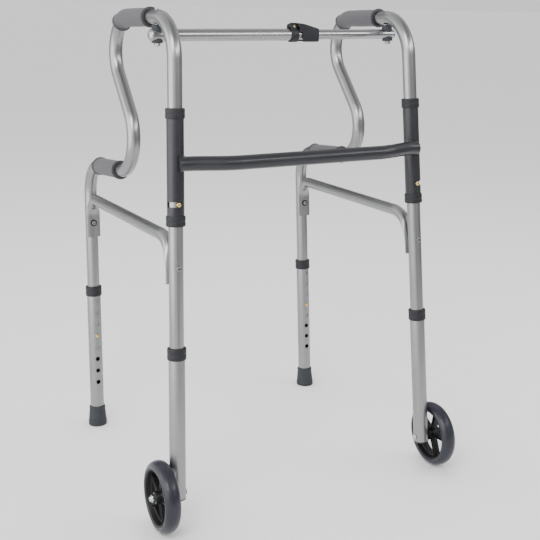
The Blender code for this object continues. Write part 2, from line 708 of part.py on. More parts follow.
def spoke_openings(inner, outer, start):
    """Triangular holes through the web, one between each pair of spokes."""
    half_spoke = 4.0 * MM
    half_angle = math.pi / SPOKES
    inner_turn = half_angle - math.asin(half_spoke / inner)
    outer_turn = half_angle - math.asin(half_spoke / outer)
    corners = [(inner, -inner_turn), (outer, -outer_turn), (outer, 0), (outer, outer_turn),
               (inner, inner_turn)]
    outlines = []
    for index in range(SPOKES):
        middle = start + 2 * math.pi * index / SPOKES
        outlines.append([(radius * math.cos(middle + turn), radius * math.sin(middle + turn))
                         for radius, turn in corners])
    return outline_mesh("openings", outlines, 30 * MM)


def tyre_profile():
    """Tyre section: flat inside on the hub's rim, round shoulders and a round crown."""
    half = TYRE_WIDTH / 2
    seat = HUB_RADIUS + 2 * GAP
    crown = WHEEL_RADIUS - seat
    arc_steps = 8
    profile = [(seat, half * 0.88)]
    for step in range(1, arc_steps):
        angle = math.pi * step / arc_steps
        profile.append((seat + crown * math.sin(angle) ** 0.8, half * math.cos(angle)))
    profile.append((seat, -half * 0.88))
    return profile


# ---------------------------------------------------------------- top bar

def bar_along_x(frame, towards):
    """Turns a frame so that its Z runs to the right (1) or to the left (-1)."""
    return frame @ Matrix.Rotation(math.radians(90 * towards), 4, "Y")


def bar_tube_mesh(name, radius, bore, length):
    """A tube with a rounded closed top end and an open bottom end."""
    wall = radius - bore
    dome = []
    for step in range(4):
        angle = math.pi / 2 * step / 4
        dome.append((radius * math.sin(angle), length - radius * 0.6 * (1 - math.cos(angle))))
    shoulder = length - radius * 0.6
    profile = dome + [(radius, shoulder), (radius, 0), (bore, 0), (bore, shoulder - wall),
                      (bore * 0.6, shoulder), (0, length - 2 * wall)]
    return turned_mesh(name, profile, ROUND_STEPS)


def make_bar_tubes(outer_body, inner_body):
    length = OUTER_BAR_RIGHT_X + BAR_END_X
    mesh = bar_tube_mesh("bar_outer_tube", OUTER_BAR_RADIUS, OUTER_BAR_BORE, length)
    frame = bar_along_x(bar_frame(OUTER_BAR_RIGHT_X), -1)
    outer = link_object("bar_outer_tube", mesh, frame, aluminium, outer_body)
    length = BAR_END_X - INNER_BAR_LEFT_X
    mesh = bar_tube_mesh("bar_inner_tube", INNER_BAR_RADIUS, INNER_BAR_BORE, length)
    frame = bar_along_x(bar_frame(INNER_BAR_LEFT_X), 1)
    inner = link_object("bar_inner_tube", mesh, frame, aluminium, inner_body)
    for tube, side in ((outer, -1), (inner, 1)):
        hole = rods_mesh("hole", [bolt_frame(side, -20 * MM)], BOLT_RADIUS + 0.5 * MM, 40 * MM)
        boolean(tube, "bolt_hole", hole)


def make_bar_seats(label, side, body, bar_radius):
    """The cupped spacer above the end of the bar and the cupped washer below it."""
    radius = 10 * MM
    bore = BOLT_RADIUS + 0.5 * MM
    reach = 60 * MM
    seats = (("spacer", 5 * MM, 17.5 * MM), ("washer", -13.4 * MM, -6 * MM))
    for which, bottom, top in seats:
        name = f"{label}_bar_{which}"
        mesh = turned_mesh(name, tube_profile(radius, bore, bottom, top, 0.8 * MM), ROUND_STEPS, ring=True)
        seat = link_object(name, mesh, bolt_frame(side, 0), rubber, body)
        start = bar_along_x(bar_frame(side * (BAR_END_X - reach)), side)
        boolean(seat, "cup", rods_mesh("bar", [start], bar_radius + GAP, 2 * reach, ROUND_STEPS))


def make_clip(bar_body, lever_body):
    """Quick-release clip: a ring on the outer tube, and a hinged lever whose saddle grips the inner tube."""
    ring_length = CLIP_RING_X[1] - CLIP_RING_X[0]
    ring_radius = 14 * MM
    profile = tube_profile(ring_radius, OUTER_BAR_RADIUS + GAP, 0, ring_length, 1.0 * MM)
    mesh = turned_mesh("clip_body", profile, ROUND_STEPS, ring=True)
    body = link_object("clip_body", mesh, bar_along_x(bar_frame(CLIP_RING_X[0]), 1), plastic, bar_body)
    lug_in = 6.2 * MM
    lug_out = 11.5 * MM
    lug_top = PIN_Z + 4.2 * MM
    for index, towards in enumerate((-1, 1)):
        low_y, high_y = sorted((BAR_Y + towards * lug_in, BAR_Y + towards * lug_out))
        lug = box_mesh("lug", (PIN_X - 4.5 * MM, low_y, BAR_Z + 8 * MM), (PIN_X + 4.5 * MM, high_y, lug_top))
        boolean(body, f"lug_{index}", lug, operation="UNION")
    tube = bar_along_x(bar_frame(CLIP_RING_X[0] - 10 * MM), 1)
    boolean(body, "bore", rods_mesh("bore", [tube], OUTER_BAR_RADIUS + GAP, 60 * MM, ROUND_STEPS))
    pocket = box_mesh("pocket", (PIN_X - 7 * MM, BAR_Y - lug_in, PIN_Z - 4.2 * MM),
                      (PIN_X + 8 * MM, BAR_Y + lug_in, PIN_Z + 10 * MM))
    boolean(body, "eye_pocket", pocket)
    pin_reach = 20 * MM
    along_pin = Matrix.Rotation(math.radians(-90), 4, "X")
    pin_frame = Matrix.Translation((PIN_X, BAR_Y - pin_reach, PIN_Z)) @ along_pin
    boolean(body, "pin_hole", rods_mesh("hole", [pin_frame], PIN_RADIUS + GAP, 2 * pin_reach))
    pin_half = lug_out + 1.2 * MM
    frame = Matrix.Translation((PIN_X, BAR_Y - pin_half, PIN_Z)) @ along_pin
    link_object("clip_pin", rods_mesh("clip_pin", [Matrix.Identity(4)], PIN_RADIUS, 2 * pin_half),
                frame, brass, bar_body)
    make_clip_lever(lever_body, pin_frame, 2 * pin_reach)


def make_clip_lever(body, pin_frame, pin_length):
    """Side outline of the lever, in x and z from the pin; its saddle is a channel open downwards."""
    eye = 3.7 * MM
    saddle_low = BAR_Z - 13 * MM - PIN_Z
    saddle_top = BAR_Z + 12.3 * MM - PIN_Z
    bridge_low = BAR_Z + 5 * MM - PIN_Z
    bridge_top = BAR_Z + 20.8 * MM - PIN_Z
    near = SADDLE_X[0] - PIN_X
    far = SADDLE_X[1] - PIN_X
    ring_clear = CLIP_RING_X[1] + 2 * GAP - PIN_X
    arm_low = BAR_Z + 14.6 * MM - PIN_Z
    arm_top = 6.4 * MM
    outline = [(-eye, 0), (-eye * 0.7, -eye * 0.7), (0, -eye), (eye * 0.7, -eye * 0.7),
               (eye + 1.5 * MM, arm_low), (ring_clear, arm_low), (ring_clear, bridge_low),
               (near, bridge_low), (near, saddle_low + 1 * MM), (near + 1 * MM, saddle_low),
               (far - 2 * MM, saddle_low), (far, saddle_low + 2 * MM),
               (far, saddle_top - 2 * MM), (far - 2 * MM, saddle_top), (near, bridge_top), (2 * MM, arm_top),
               (-eye, arm_top - 2 * MM)]
    half_width = 13 * MM
    mesh = outline_mesh("clip_lever", [outline], 2 * half_width)
    frame = Matrix.Translation((PIN_X, BAR_Y, PIN_Z)) @ Matrix.Rotation(math.radians(90), 4, "X")
    lever = link_object("clip_lever", mesh, frame, plastic, body)
    reach = 40 * MM
    channel = INNER_BAR_RADIUS + GAP
    tube = bar_along_x(bar_frame(PIN_X), 1)
    boolean(lever, "channel", rods_mesh("tube", [tube], channel, 2 * reach, ROUND_STEPS))
    low = (PIN_X, BAR_Y - channel, BAR_Z - reach)
    boolean(lever, "mouth", box_mesh("below", low, (PIN_X + 2 * reach, BAR_Y + channel, BAR_Z)))
    for index, towards in enumerate((-1, 1)):
        turn = Matrix.Rotation(math.radians(-90 * towards), 4, "X")
        cheek = Matrix.Translation((PIN_X, BAR_Y + towards * 5.8 * MM, PIN_Z)) @ turn
        boolean(lever, f"cheek_{index}", rods_mesh("cheek", [cheek], 7.4 * MM, reach))
    boolean(lever, "pin_hole", rods_mesh("hole", [pin_frame], PIN_RADIUS + GAP, pin_length))


# ---------------------------------------------------------------- assembly

def make_side(label, side):
    """One side frame and everything that hangs on it; gives back the body of the side frame."""
    fold = body_empty(f"{label}_fold_axis", leg_frame(side, False, SLEEVE_Z[0]))
    make_side_tube(label, side, fold)
    upper, lower = handle_paths()
    make_grip(label, side, fold, "upper", UPPER_GRIP, upper)
    make_grip(label, side, fold, "lower", LOWER_GRIP, lower)
    make_brace(label, side, fold)
    make_brace_fasteners(label, side, fold)
    make_bar_bolt(label, side, fold)
    buttons = (("sleeve", facing_front(leg_frame(side, False, SLEEVE_BUTTON_Z)), SLEEVE_RADIUS, True),
               ("front_leg", facing_rear(leg_frame(side, False, FRONT_BUTTON_Z)), LEG_RADIUS, False),
               ("rear_leg", facing_front(leg_frame(side, True, REAR_BUTTON_Z)), LEG_RADIUS, True))
    for which, frame, wall_radius, leaf_down in buttons:
        press = body_empty(f"{label}_{which}_button_axis", frame)
        make_button(f"{label}_{which}_button", frame, press, wall_radius + 2.6 * MM, leaf_down)
    front_slide = body_empty(f"{label}_front_leg_axis", leg_frame(side, False, FRONT_LEG_BOTTOM_Z))
    make_lower_leg(label, side, False, front_slide)
    make_leg_plug(label, side, front_slide)
    make_axle(label, side, front_slide)
    spin = body_empty(f"{label}_wheel_axis", axle_frame(side))
    make_wheel(label, side, spin)
    rear_slide = body_empty(f"{label}_rear_leg_axis", leg_frame(side, True, REAR_LEG_BOTTOM_Z))
    make_lower_leg(label, side, True, rear_slide)
    make_tip(label, side, rear_slide)


def make_front_frame():
    for label, side in SIDES.items():
        make_sleeve(label, side)
        make_sleeve_collar(label, side, "top", SLEEVE_Z[1], False)
        make_sleeve_collar(label, side, "bottom", SLEEVE_Z[0], True)
    make_crossbar()


def make_top_bar():
    outer = body_empty("bar_left_pivot_axis", bolt_frame(-1, 0))
    inner = body_empty("bar_right_pivot_axis", bolt_frame(1, 0))
    lever = body_empty("clip_lever_axis", Matrix.Translation((PIN_X, BAR_Y, PIN_Z)))
    make_bar_tubes(outer, inner)
    make_bar_seats("left", -1, outer, OUTER_BAR_RADIUS)
    make_bar_seats("right", 1, inner, INNER_BAR_RADIUS)
    make_clip(outer, lever)


clear_scene()
parts = make_collection("walking_frame")
cutters = make_collection("cutters")
aluminium = material("satin_aluminium", (0.62, 0.62, 0.63), 0.32, 1.0)
painted = material("painted_tube", (0.075, 0.077, 0.085), 0.42, 0.0)
plastic = material("collar_plastic", (0.066, 0.070, 0.082), 0.5, 0.0)
foam = material("grip_foam", (0.22, 0.215, 0.24), 0.85, 0.0)
rubber = material("tip_rubber", (0.09, 0.10, 0.115), 0.75, 0.0)
tyre_rubber = material("tyre_rubber", (0.085, 0.09, 0.125), 0.35, 0.0)
hub_plastic = material("hub_plastic", (0.012, 0.012, 0.015), 0.4, 0.0)
steel = material("zinc_steel", (0.55, 0.56, 0.57), 0.3, 1.0)
brass = material("brass", (0.66, 0.45, 0.12), 0.3, 1.0)

make_front_frame()
for side_label, side_sign in SIDES.items():
    make_side(side_label, side_sign)
make_top_bar()
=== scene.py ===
"""Looks of the folding walking frame: fine meshes and procedural materials over the CAD frame.

Metres, +Z up, -Y is the wheeled front. Each piece rides on the CAD body that it belongs to.
"""
import math

import bmesh
import bpy
from mathutils import Matrix, Vector


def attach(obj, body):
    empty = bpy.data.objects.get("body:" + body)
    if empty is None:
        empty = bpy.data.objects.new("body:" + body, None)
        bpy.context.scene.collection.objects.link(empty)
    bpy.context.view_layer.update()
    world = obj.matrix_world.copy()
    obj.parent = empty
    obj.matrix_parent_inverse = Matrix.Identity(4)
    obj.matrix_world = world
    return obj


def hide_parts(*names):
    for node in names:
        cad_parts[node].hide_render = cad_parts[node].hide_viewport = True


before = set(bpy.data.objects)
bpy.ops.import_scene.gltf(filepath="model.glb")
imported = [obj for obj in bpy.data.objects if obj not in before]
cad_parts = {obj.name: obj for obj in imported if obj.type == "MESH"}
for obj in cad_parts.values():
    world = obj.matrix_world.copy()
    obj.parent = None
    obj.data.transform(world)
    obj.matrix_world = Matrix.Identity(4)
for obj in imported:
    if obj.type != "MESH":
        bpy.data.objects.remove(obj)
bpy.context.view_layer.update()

MM = 0.001
FRONT_Y = -195.6 * MM
SIDES = {"left": -1, "right": 1}
TUBE = 12.7 * MM
SLEEVE = 15.0 * MM
LEG = 14.3 * MM
LEG_BORE = 13.15 * MM
BAR_Z = 850 * MM
BAR_Y = FRONT_Y + 109 * MM
WHEEL = 62.5 * MM
WHEEL_OFFSET = 29 * MM
HUB_HALF = 14 * MM
PITCH = 25.4 * MM
SLEEVE_BOTTOM_Z = 536 * MM
SLEEVE_TOP_Z = 728.5 * MM
CROSSBAR_Z = 640.5 * MM
SLEEVE_BUTTON_Z = 570 * MM
FRONT_BUTTON_Z = 216 * MM
REAR_BUTTON_Z = 197 * MM
FRONT_LEG_BOTTOM_Z = 54 * MM


# ---------------------------------------------------------------- materials

class Nodes:
    """Small helper for building a material's node tree."""

    def __init__(self, name, colour, roughness, metallic=0.0, **inputs):
        self.mat = bpy.data.materials.new(name)
        self.mat.use_nodes = True
        self.tree = self.mat.node_tree
        self.shader = self.tree.nodes["Principled BSDF"]
        self.shader.inputs["Base Color"].default_value = (*colour, 1)
        self.shader.inputs["Roughness"].default_value = roughness
        self.shader.inputs["Metallic"].default_value = metallic
        for key, value in inputs.items():
            self.shader.inputs[key.replace("_", " ")].default_value = value

    def add(self, kind, **settings):
        node = self.tree.nodes.new(kind)
        for key, value in settings.items():
            if hasattr(node, key):
                setattr(node, key, value)
            else:
                node.inputs[key.replace("_", " ")].default_value = value
        return node

    def link(self, output, target):
        self.tree.links.new(output, target)

    def coords(self, which, scale):
        """Texture coordinates (UV or Object), stretched by a scale along each axis."""
        source = self.add("ShaderNodeTexCoord")
        mapping = self.add("ShaderNodeMapping")
        mapping.inputs["Scale"].default_value = scale
        self.link(source.outputs[which], mapping.inputs["Vector"])
        return mapping.outputs["Vector"]

    def noise(self, which, scale, detail=3.0, size=1.0, rough=0.5):
        node = self.add("ShaderNodeTexNoise", Scale=size, Detail=detail, Roughness=rough)
        self.link(self.coords(which, scale), node.inputs["Vector"])
        return node.outputs["Fac"]

    def cells(self, which, scale, feature="F1"):
        node = self.add("ShaderNodeTexVoronoi", feature=feature, Scale=1.0)
        self.link(self.coords(which, scale), node.inputs["Vector"])
        return node.outputs["Distance"]

    def remap(self, value, low, high, to_low, to_high):
        node = self.add("ShaderNodeMapRange")
        for key, number in (("From Min", low), ("From Max", high), ("To Min", to_low), ("To Max", to_high)):
            node.inputs[key].default_value = number
        self.link(value, node.inputs["Value"])
        return node.outputs["Result"]

    def sum(self, first, second, operation="ADD"):
        node = self.add("ShaderNodeMath", operation=operation)
        self.link(first, node.inputs[0])
        if isinstance(second, float):
            node.inputs[1].default_value = second
        else:
            self.link(second, node.inputs[1])
        return node.outputs["Value"]

    def tint(self, value, stops):
        """Base colour from a value through a colour ramp."""
        ramp = self.add("ShaderNodeValToRGB")
        elements = ramp.color_ramp.elements
        while len(elements) < len(stops):
            elements.new(0.5)
        for element, (place, colour) in zip(elements, stops):
            element.position = place
            element.color = (*colour, 1)
        self.link(value, ramp.inputs["Fac"])
        self.link(ramp.outputs["Color"], self.shader.inputs["Base Color"])

    def roughness(self, value, low, high):
        self.link(self.remap(value, 0.25, 0.75, low, high), self.shader.inputs["Roughness"])

    def bump(self, value, strength, distance):
        node = self.add("ShaderNodeBump", Strength=strength, Distance=distance)
        self.link(value, node.inputs["Height"])
        self.link(node.outputs["Normal"], self.shader.inputs["Normal"])


def satin_aluminium(name, low, high):
    """Drawn and anodised tube: fine lines along the tube, soft cloudiness."""
    n = Nodes(name, (0.28, 0.282, 0.287), low, 1.0)
    lines = n.noise("UV", (2600, 14, 1), 3)
    cloud = n.noise("UV", (26, 9, 1), 4)
    both = n.sum(n.sum(lines, 0.6, "MULTIPLY"), n.sum(cloud, 0.4, "MULTIPLY"))
    n.roughness(both, low, high)
    n.tint(both, [(0.3, (0.25, 0.252, 0.257)), (0.7, (0.315, 0.317, 0.323))])
    n.bump(lines, 0.12, 0.00012)
    return n.mat


def bar_aluminium():
    n = Nodes("bar_aluminium_look", (0.34, 0.34, 0.35), 0.2, 1.0)
    lines = n.noise("UV", (2000, 10, 1), 3)
    cloud = n.noise("UV", (30, 14, 1), 4)
    n.roughness(cloud, 0.2, 0.3)
    n.tint(lines, [(0.3, (0.31, 0.31, 0.32)), (0.7, (0.38, 0.38, 0.39))])
    n.bump(lines, 0.08, 0.0001)
    return n.mat


def painted():
    """Dark grey powder coat with a fine orange-peel skin."""
    n = Nodes("powder_coat_look", (0.022, 0.0225, 0.026), 0.34, 0.2,
              Coat_Weight=0.22, Coat_Roughness=0.1, Specular_IOR_Level=0.38)
    peel = n.noise("Object", (520, 520, 520), 3)
    fleck = n.cells("Object", (1400, 1400, 1400))
    n.tint(fleck, [(0.0, (0.028, 0.0285, 0.034)), (0.8, (0.012, 0.0122, 0.0155))])
    n.roughness(peel, 0.26, 0.44)
    n.bump(peel, 0.5, 0.0006)
    return n.mat


def moulded(name, colour, roughness, grain=900, depth=0.0002, coat=0.0):
    """Moulded plastic or rubber: fine grain, slight shade and gloss variation."""
    n = Nodes(name, colour, roughness, Coat_Weight=coat, Coat_Roughness=0.15, Specular_IOR_Level=0.36)
    fine = n.noise("Object", (grain,) * 3, 3)
    wide = n.noise("Object", (38,) * 3, 4)
    dark = tuple(c * 0.8 for c in colour)
    light = tuple(c * 1.22 for c in colour)
    n.tint(wide, [(0.3, dark), (0.7, light)])
    both = n.sum(n.sum(fine, 0.5, "MULTIPLY"), n.sum(wide, 0.5, "MULTIPLY"))
    n.roughness(both, roughness - 0.07, roughness + 0.1)
    n.bump(fine, 0.3, depth)
    return n.mat


def foam():
    """Closed-cell foam: soft mottled grey with small open pores."""
    n = Nodes("grip_foam_look", (0.095, 0.093, 0.104), 0.75, Sheen_Weight=0.12, Sheen_Roughness=0.5)
    pores = n.cells("Object", (1500, 1500, 1500))
    mottle = n.noise("Object", (160, 160, 160), 5)
    mixed = n.sum(n.sum(pores, 0.4, "MULTIPLY"), n.sum(mottle, 0.6, "MULTIPLY"))
    n.tint(mixed, [(0.22, (0.038, 0.037, 0.044)), (0.6, (0.07, 0.0685, 0.079))])
    n.roughness(mottle, 0.62, 0.85)
    n.bump(mixed, 0.45, 0.0004)
    return n.mat


def metal(name, colour, low, high, grain=420):
    n = Nodes(name, colour, low, 1.0)
    spots = n.noise("Object", (grain,) * 3, 5)
    n.roughness(spots, low, high)
    n.tint(spots, [(0.3, tuple(c * 0.84 for c in colour)), (0.7, colour)])
    n.bump(spots, 0.12, 0.0001)
    return n.mat


ALUMINIUM = satin_aluminium("drawn_tube_look", 0.24, 0.36)
LEG_METAL = satin_aluminium("leg_tube_look", 0.33, 0.45)
BAR_METAL = bar_aluminium()
PAINT = painted()
COLLAR = moulded("collar_look", (0.0095, 0.0098, 0.0132), 0.5, 700, 0.0002, 0.0)
FOAM = foam()
GRIP_RIM = moulded("grip_rim_look", (0.045, 0.0445, 0.051), 0.6, 1100, 0.0003)
RUBBER = moulded("tip_rubber_look", (0.023, 0.026, 0.033), 0.62, 800, 0.0003)
TYRE = moulded("tyre_look", (0.014, 0.0145, 0.024), 0.34, 300, 0.0002, 0.1)
HUB = moulded("hub_look", (0.0015, 0.0015, 0.002), 0.45, 600, 0.0002)
STEEL = metal("zinc_steel_look", (0.5, 0.505, 0.515), 0.2, 0.36)
SCREW_STEEL = metal("screw_look", (0.24, 0.243, 0.25), 0.28, 0.42)
BRASS = metal("brass_look", (0.78, 0.56, 0.2), 0.2, 0.34)


# ---------------------------------------------------------------- places on the frame

def leg_axis(side, rear, height):
    drop = 450 * MM - height
    if rear:
        return Vector((side * (253 * MM + 0.0071 * drop), FRONT_Y + 470 * MM - 0.0673 * drop, height))
    return Vector((side * (248 * MM + 0.0287 * drop), FRONT_Y - 0.084 * drop, height))


def leg_frame(side, rear, height, offset=(0, 0, 0)):
    """Frame on a leg's axis: Z up the leg, X to the right, Y to the rear."""
    up = (leg_axis(side, rear, 1.0) - leg_axis(side, rear, 0.0)).normalized()
    right = (Vector((1, 0, 0)) - up * up.x).normalized()
    rotation = Matrix((right, up.cross(right), up)).transposed().to_4x4()
    return Matrix.Translation(leg_axis(side, rear, height)) @ rotation @ Matrix.Translation(offset)


def facing_front(matrix):
    return matrix @ Matrix.Rotation(math.radians(90), 4, "X")


def facing_rear(matrix):
    return matrix @ Matrix.Rotation(math.radians(-90), 4, "X")


def along_x(place, towards):
    return Matrix.Translation(place) @ Matrix.Rotation(math.radians(90 * towards), 4, "Y")


def side_point(side, y, z):
    front = leg_axis(side, False, z)
    rear = leg_axis(side, True, z)
    share = (y - front.y) / (rear.y - front.y)
    return Vector((front.x + (rear.x - front.x) * share, y, z))


def bolt_frame(side, height):
    rotation = leg_frame(side, False, 0).to_3x3().to_4x4()
    return Matrix.Translation(side_point(side, BAR_Y, BAR_Z)) @ rotation @ Matrix.Translation((0, 0, height))


def rounded_path(corners, radii, turn_step=3.0, run_step=8 * MM):
    """Points along straight runs joined by arcs; corners are (y, z)."""
    path = [Vector(corners[0])]

    def run_to(point):
        start = path[-1]
        count = max(1, round((point - start).length / run_step))
        path.extend(start.lerp(point, index / count) for index in range(1, count + 1))

    for before, corner, after, radius in zip(corners, corners[1:], corners[2:], radii):
        corner = Vector(corner)
        arrive = (corner - Vector(before)).normalized()
        leave = (Vector(after) - corner).normalized()
        turn = math.atan2(arrive.x * leave.y - arrive.y * leave.x, arrive.dot(leave))
        start = corner - arrive * radius * math.tan(abs(turn) / 2)
        to_centre = Vector((-arrive.y, arrive.x)) * math.copysign(radius, turn)
        run_to(start)
        steps = math.ceil(math.degrees(abs(turn)) / turn_step)
        for step in range(1, steps + 1):
            spoke = -to_centre
            spoke.rotate(Matrix.Rotation(turn * step / steps, 2))
            path.append(start + to_centre + spoke)
    run_to(Vector(corners[-1]))
    return path


def side_path():
    corners = [leg_axis(1, False, 178 * MM).yz, leg_axis(1, False, 884.7 * MM).yz,
               (FRONT_Y + 394.5 * MM, 869.3 * MM), (FRONT_Y + 140 * MM, 597.6 * MM),
               leg_axis(1, True, 564 * MM).yz, leg_axis(1, True, 159 * MM).yz]
    return rounded_path(corners, (75 * MM, 65 * MM, 68 * MM, 65 * MM))


# ---------------------------------------------------------------- mesh building

def finish_mesh(name, mesh, material, sharp=38):
    if material is not None:
        mesh.materials.clear()
        mesh.materials.append(material)
    mesh.shade_smooth()
    mesh.set_sharp_from_angle(angle=math.radians(sharp))
    obj = bpy.data.objects.new(name, mesh)
    bpy.context.scene.collection.objects.link(obj)
    return obj


def skin(name, rings, material, closed=False, caps=True, sharp=38):
    """Quads between rings of points, with UVs in metres: round the piece, then along it."""
    mesh = bpy.data.meshes.new(name)
    bm = bmesh.new()
    layer = bm.loops.layers.uv.new("UVMap")
    rows = [[bm.verts.new(point) for point in ring] for ring in rings]
    count = len(rings[0])
    girths = []
    lengths = [0.0]
    for index, ring in enumerate(rings):
        girths.append(sum((ring[i] - ring[i - 1]).length for i in range(count)))
        if index:
            lengths.append(lengths[-1] + (ring[0] - rings[index - 1][0]).length)
    girth = max(girths)
    spans = len(rings) if closed else len(rings) - 1
    for row in range(spans):
        after = (row + 1) % len(rings)
        end = lengths[after] if after else lengths[row] + (rings[0][0] - rings[-1][0]).length
        for i in range(count):
            j = (i + 1) % count
            face = bm.faces.new((rows[row][i], rows[row][j], rows[after][j], rows[after][i]))
            spots = ((i, lengths[row]), (i + 1, lengths[row]), (i + 1, end), (i, end))
            for loop, (round_index, along) in zip(face.loops, spots):
                loop[layer].uv = (girth * round_index / count, along)
    if caps and not closed:
        for row in (rows[0], rows[-1]):
            if len({tuple(vert.co) for vert in row}) > 2:
                bm.faces.new(row)
    bmesh.ops.remove_doubles(bm, verts=bm.verts, dist=0.000002)
    bmesh.ops.recalc_face_normals(bm, faces=bm.faces)
    bm.to_mesh(mesh)
    bm.free()
    return finish_mesh(name, mesh, material, sharp)


def eased(profile, radius=0.5 * MM, steps=3, closed=False):
    """The profile with its corners rounded."""
    points = [Vector(point) for point in profile]
    result = []
    count = len(points)
    for index, point in enumerate(points):
        if not closed and index in (0, count - 1):
            result.append(point)
            continue
        before = points[index - 1]
        after = points[(index + 1) % count]
        reach = min(radius, (before - point).length * 0.45, (after - point).length * 0.45)
        start = point + (before - point).normalized() * reach
        end = point + (after - point).normalized() * reach
        for step in range(steps + 1):
            t = step / steps
            result.append(start.lerp(point, t).lerp(point.lerp(end, t), t))
    return result


def turned(name, profile, matrix, material, steps=64, ring=False, ease=0.5 * MM, sharp=38):
    """Solid of revolution about the matrix's Z, from (radius, height) points."""
    line = eased(profile, ease, closed=ring) if ease else [Vector(point) for point in profile]
    rings = []
    for radius, height in line:
        turns = (2 * math.pi * index / steps for index in range(steps))
        rings.append([matrix @ Vector((radius * math.cos(t), radius * math.sin(t), height)) for t in turns])
    return skin(name, rings, material, closed=ring, sharp=sharp)


def tube_profile(outer, bore, bottom, top):
    return [(outer, top), (outer, bottom), (bore, bottom), (bore, top)]


def heading(points, index):
    """Direction of the path at one of its points."""
    return (points[min(index + 1, len(points) - 1)] - points[max(index - 1, 0)]).normalized()


def running_lengths(points):
    """Length along the path up to each of its points."""
    lengths = [0.0]
    for first, second in zip(points, points[1:]):
        lengths.append(lengths[-1] + (second - first).length)
    return lengths


def quarter_turn(steps):
    return [math.pi / 2 * index / steps for index in range(steps + 1)]


def path_frames(points):
    """Direction and two cross directions at each point, carried along without twisting."""
    frames = []
    cross = None
    for index, point in enumerate(points):
        ahead = heading(points, index)
        if cross is None:
            helper = Vector((1, 0, 0)) if abs(ahead.x) < 0.8 else Vector((0, 0, 1))
            cross = helper
        cross = (cross - ahead * cross.dot(ahead)).normalized()
        frames.append((point, ahead, cross, ahead.cross(cross)))
    return frames


def swept(name, points, radii, material, sides=48, wall=None, sharp=38):
    """Round rod through the points; radii is one number or one for each point."""
    if not isinstance(radii, (list, tuple)):
        radii = [radii] * len(points)
    turns = [2 * math.pi * index / sides for index in range(sides)]

    def ring(place, cross, over, radius):
        return [place + (cross * math.cos(t) + over * math.sin(t)) * radius for t in turns]

    frames = path_frames(points)
    rings = [ring(place, cross, over, radius) for (place, _, cross, over), radius in zip(frames, radii)]
    if wall is not None:
        inner = [ring(place, cross, over, radius - wall)
                 for (place, _, cross, over), radius in zip(frames, radii)]
        rings += list(reversed(inner))
    return skin(name, rings, material, closed=wall is not None, sharp=sharp)


def outline(name, points, thickness, matrix, material, bevel=0.6 * MM, segments=3):
    """A flat outline in the matrix's X and Y, thickened both ways, with rounded edges."""
    mesh = bpy.data.meshes.new(name)
    bm = bmesh.new()
    low = [bm.verts.new((x, y, -thickness / 2)) for x, y in points]
    high = [bm.verts.new((x, y, thickness / 2)) for x, y in points]
    bm.faces.new(reversed(low))
    bm.faces.new(high)
    for i in range(len(points)):
        j = (i + 1) % len(points)
        bm.faces.new((low[i], low[j], high[j], high[i]))
    bmesh.ops.recalc_face_normals(bm, faces=bm.faces)
    if bevel:
        edges = [edge for edge in bm.edges if edge.calc_face_angle(0) > math.radians(25)]
        bmesh.ops.bevel(bm, geom=edges, offset=bevel, segments=segments, profile=0.6, affect="EDGES",
                        clamp_overlap=True)
    bm.transform(matrix)
    bm.to_mesh(mesh)
    bm.free()
    return finish_mesh(name, mesh, material)


def apply_modifiers(obj):
    graph = bpy.context.evaluated_depsgraph_get()
    graph.update()
    mesh = bpy.data.meshes.new_from_object(obj.evaluated_get(graph))
    obj.modifiers.clear()
    obj.data = mesh
    return obj


def combine(obj, tools, operation="DIFFERENCE", sharp=38):
    """Cuts the tools out of obj, or joins them on, and removes them."""
    for tool in tools:
        modifier = obj.modifiers.new("join", "BOOLEAN")
        modifier.operation = operation
        modifier.solver = "EXACT"
        modifier.object = tool
    apply_modifiers(obj)
    for tool in tools:
        bpy.data.objects.remove(tool, do_unlink=True)
    obj.data.shade_smooth()
    obj.data.set_sharp_from_angle(angle=math.radians(sharp))
    return obj


def hole(matrix, radius, length, start=0.0, steps=32):
    return turned("tool", [(0, start + length), (radius, start + length), (radius, start), (0, start)],
                  matrix, None, steps, ease=0)


def place(obj, body, *nodes, slot=None):
    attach(obj, body)
    if nodes:
        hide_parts(*nodes)
    return obj


# ---------------------------------------------------------------- front frame

def collar(name, matrix, body, outer, seat, bore, height, node):
    """Moulded ring: a flange, a waist with a fine groove, and a rounded lip."""
    lip = 4 * MM
    low = lip - height
    profile = [(outer - 0.9 * MM, lip), (outer, lip - 1.4 * MM), (outer, lip - 0.42 * height),
               (outer - 0.45 * MM, lip - 0.46 * height), (outer - 0.45 * MM, lip - 0.50 * height),
               (outer, lip - 0.54 * height), (outer, low + 1.4 * MM), (outer - 0.9 * MM, low),
               (seat, low), (seat, 0.3 * MM), (bore, 0.3 * MM), (bore, lip)]
    place(turned(name, profile, matrix, COLLAR, ring=True, ease=0.7 * MM), body, node, slot="collar_plastic")


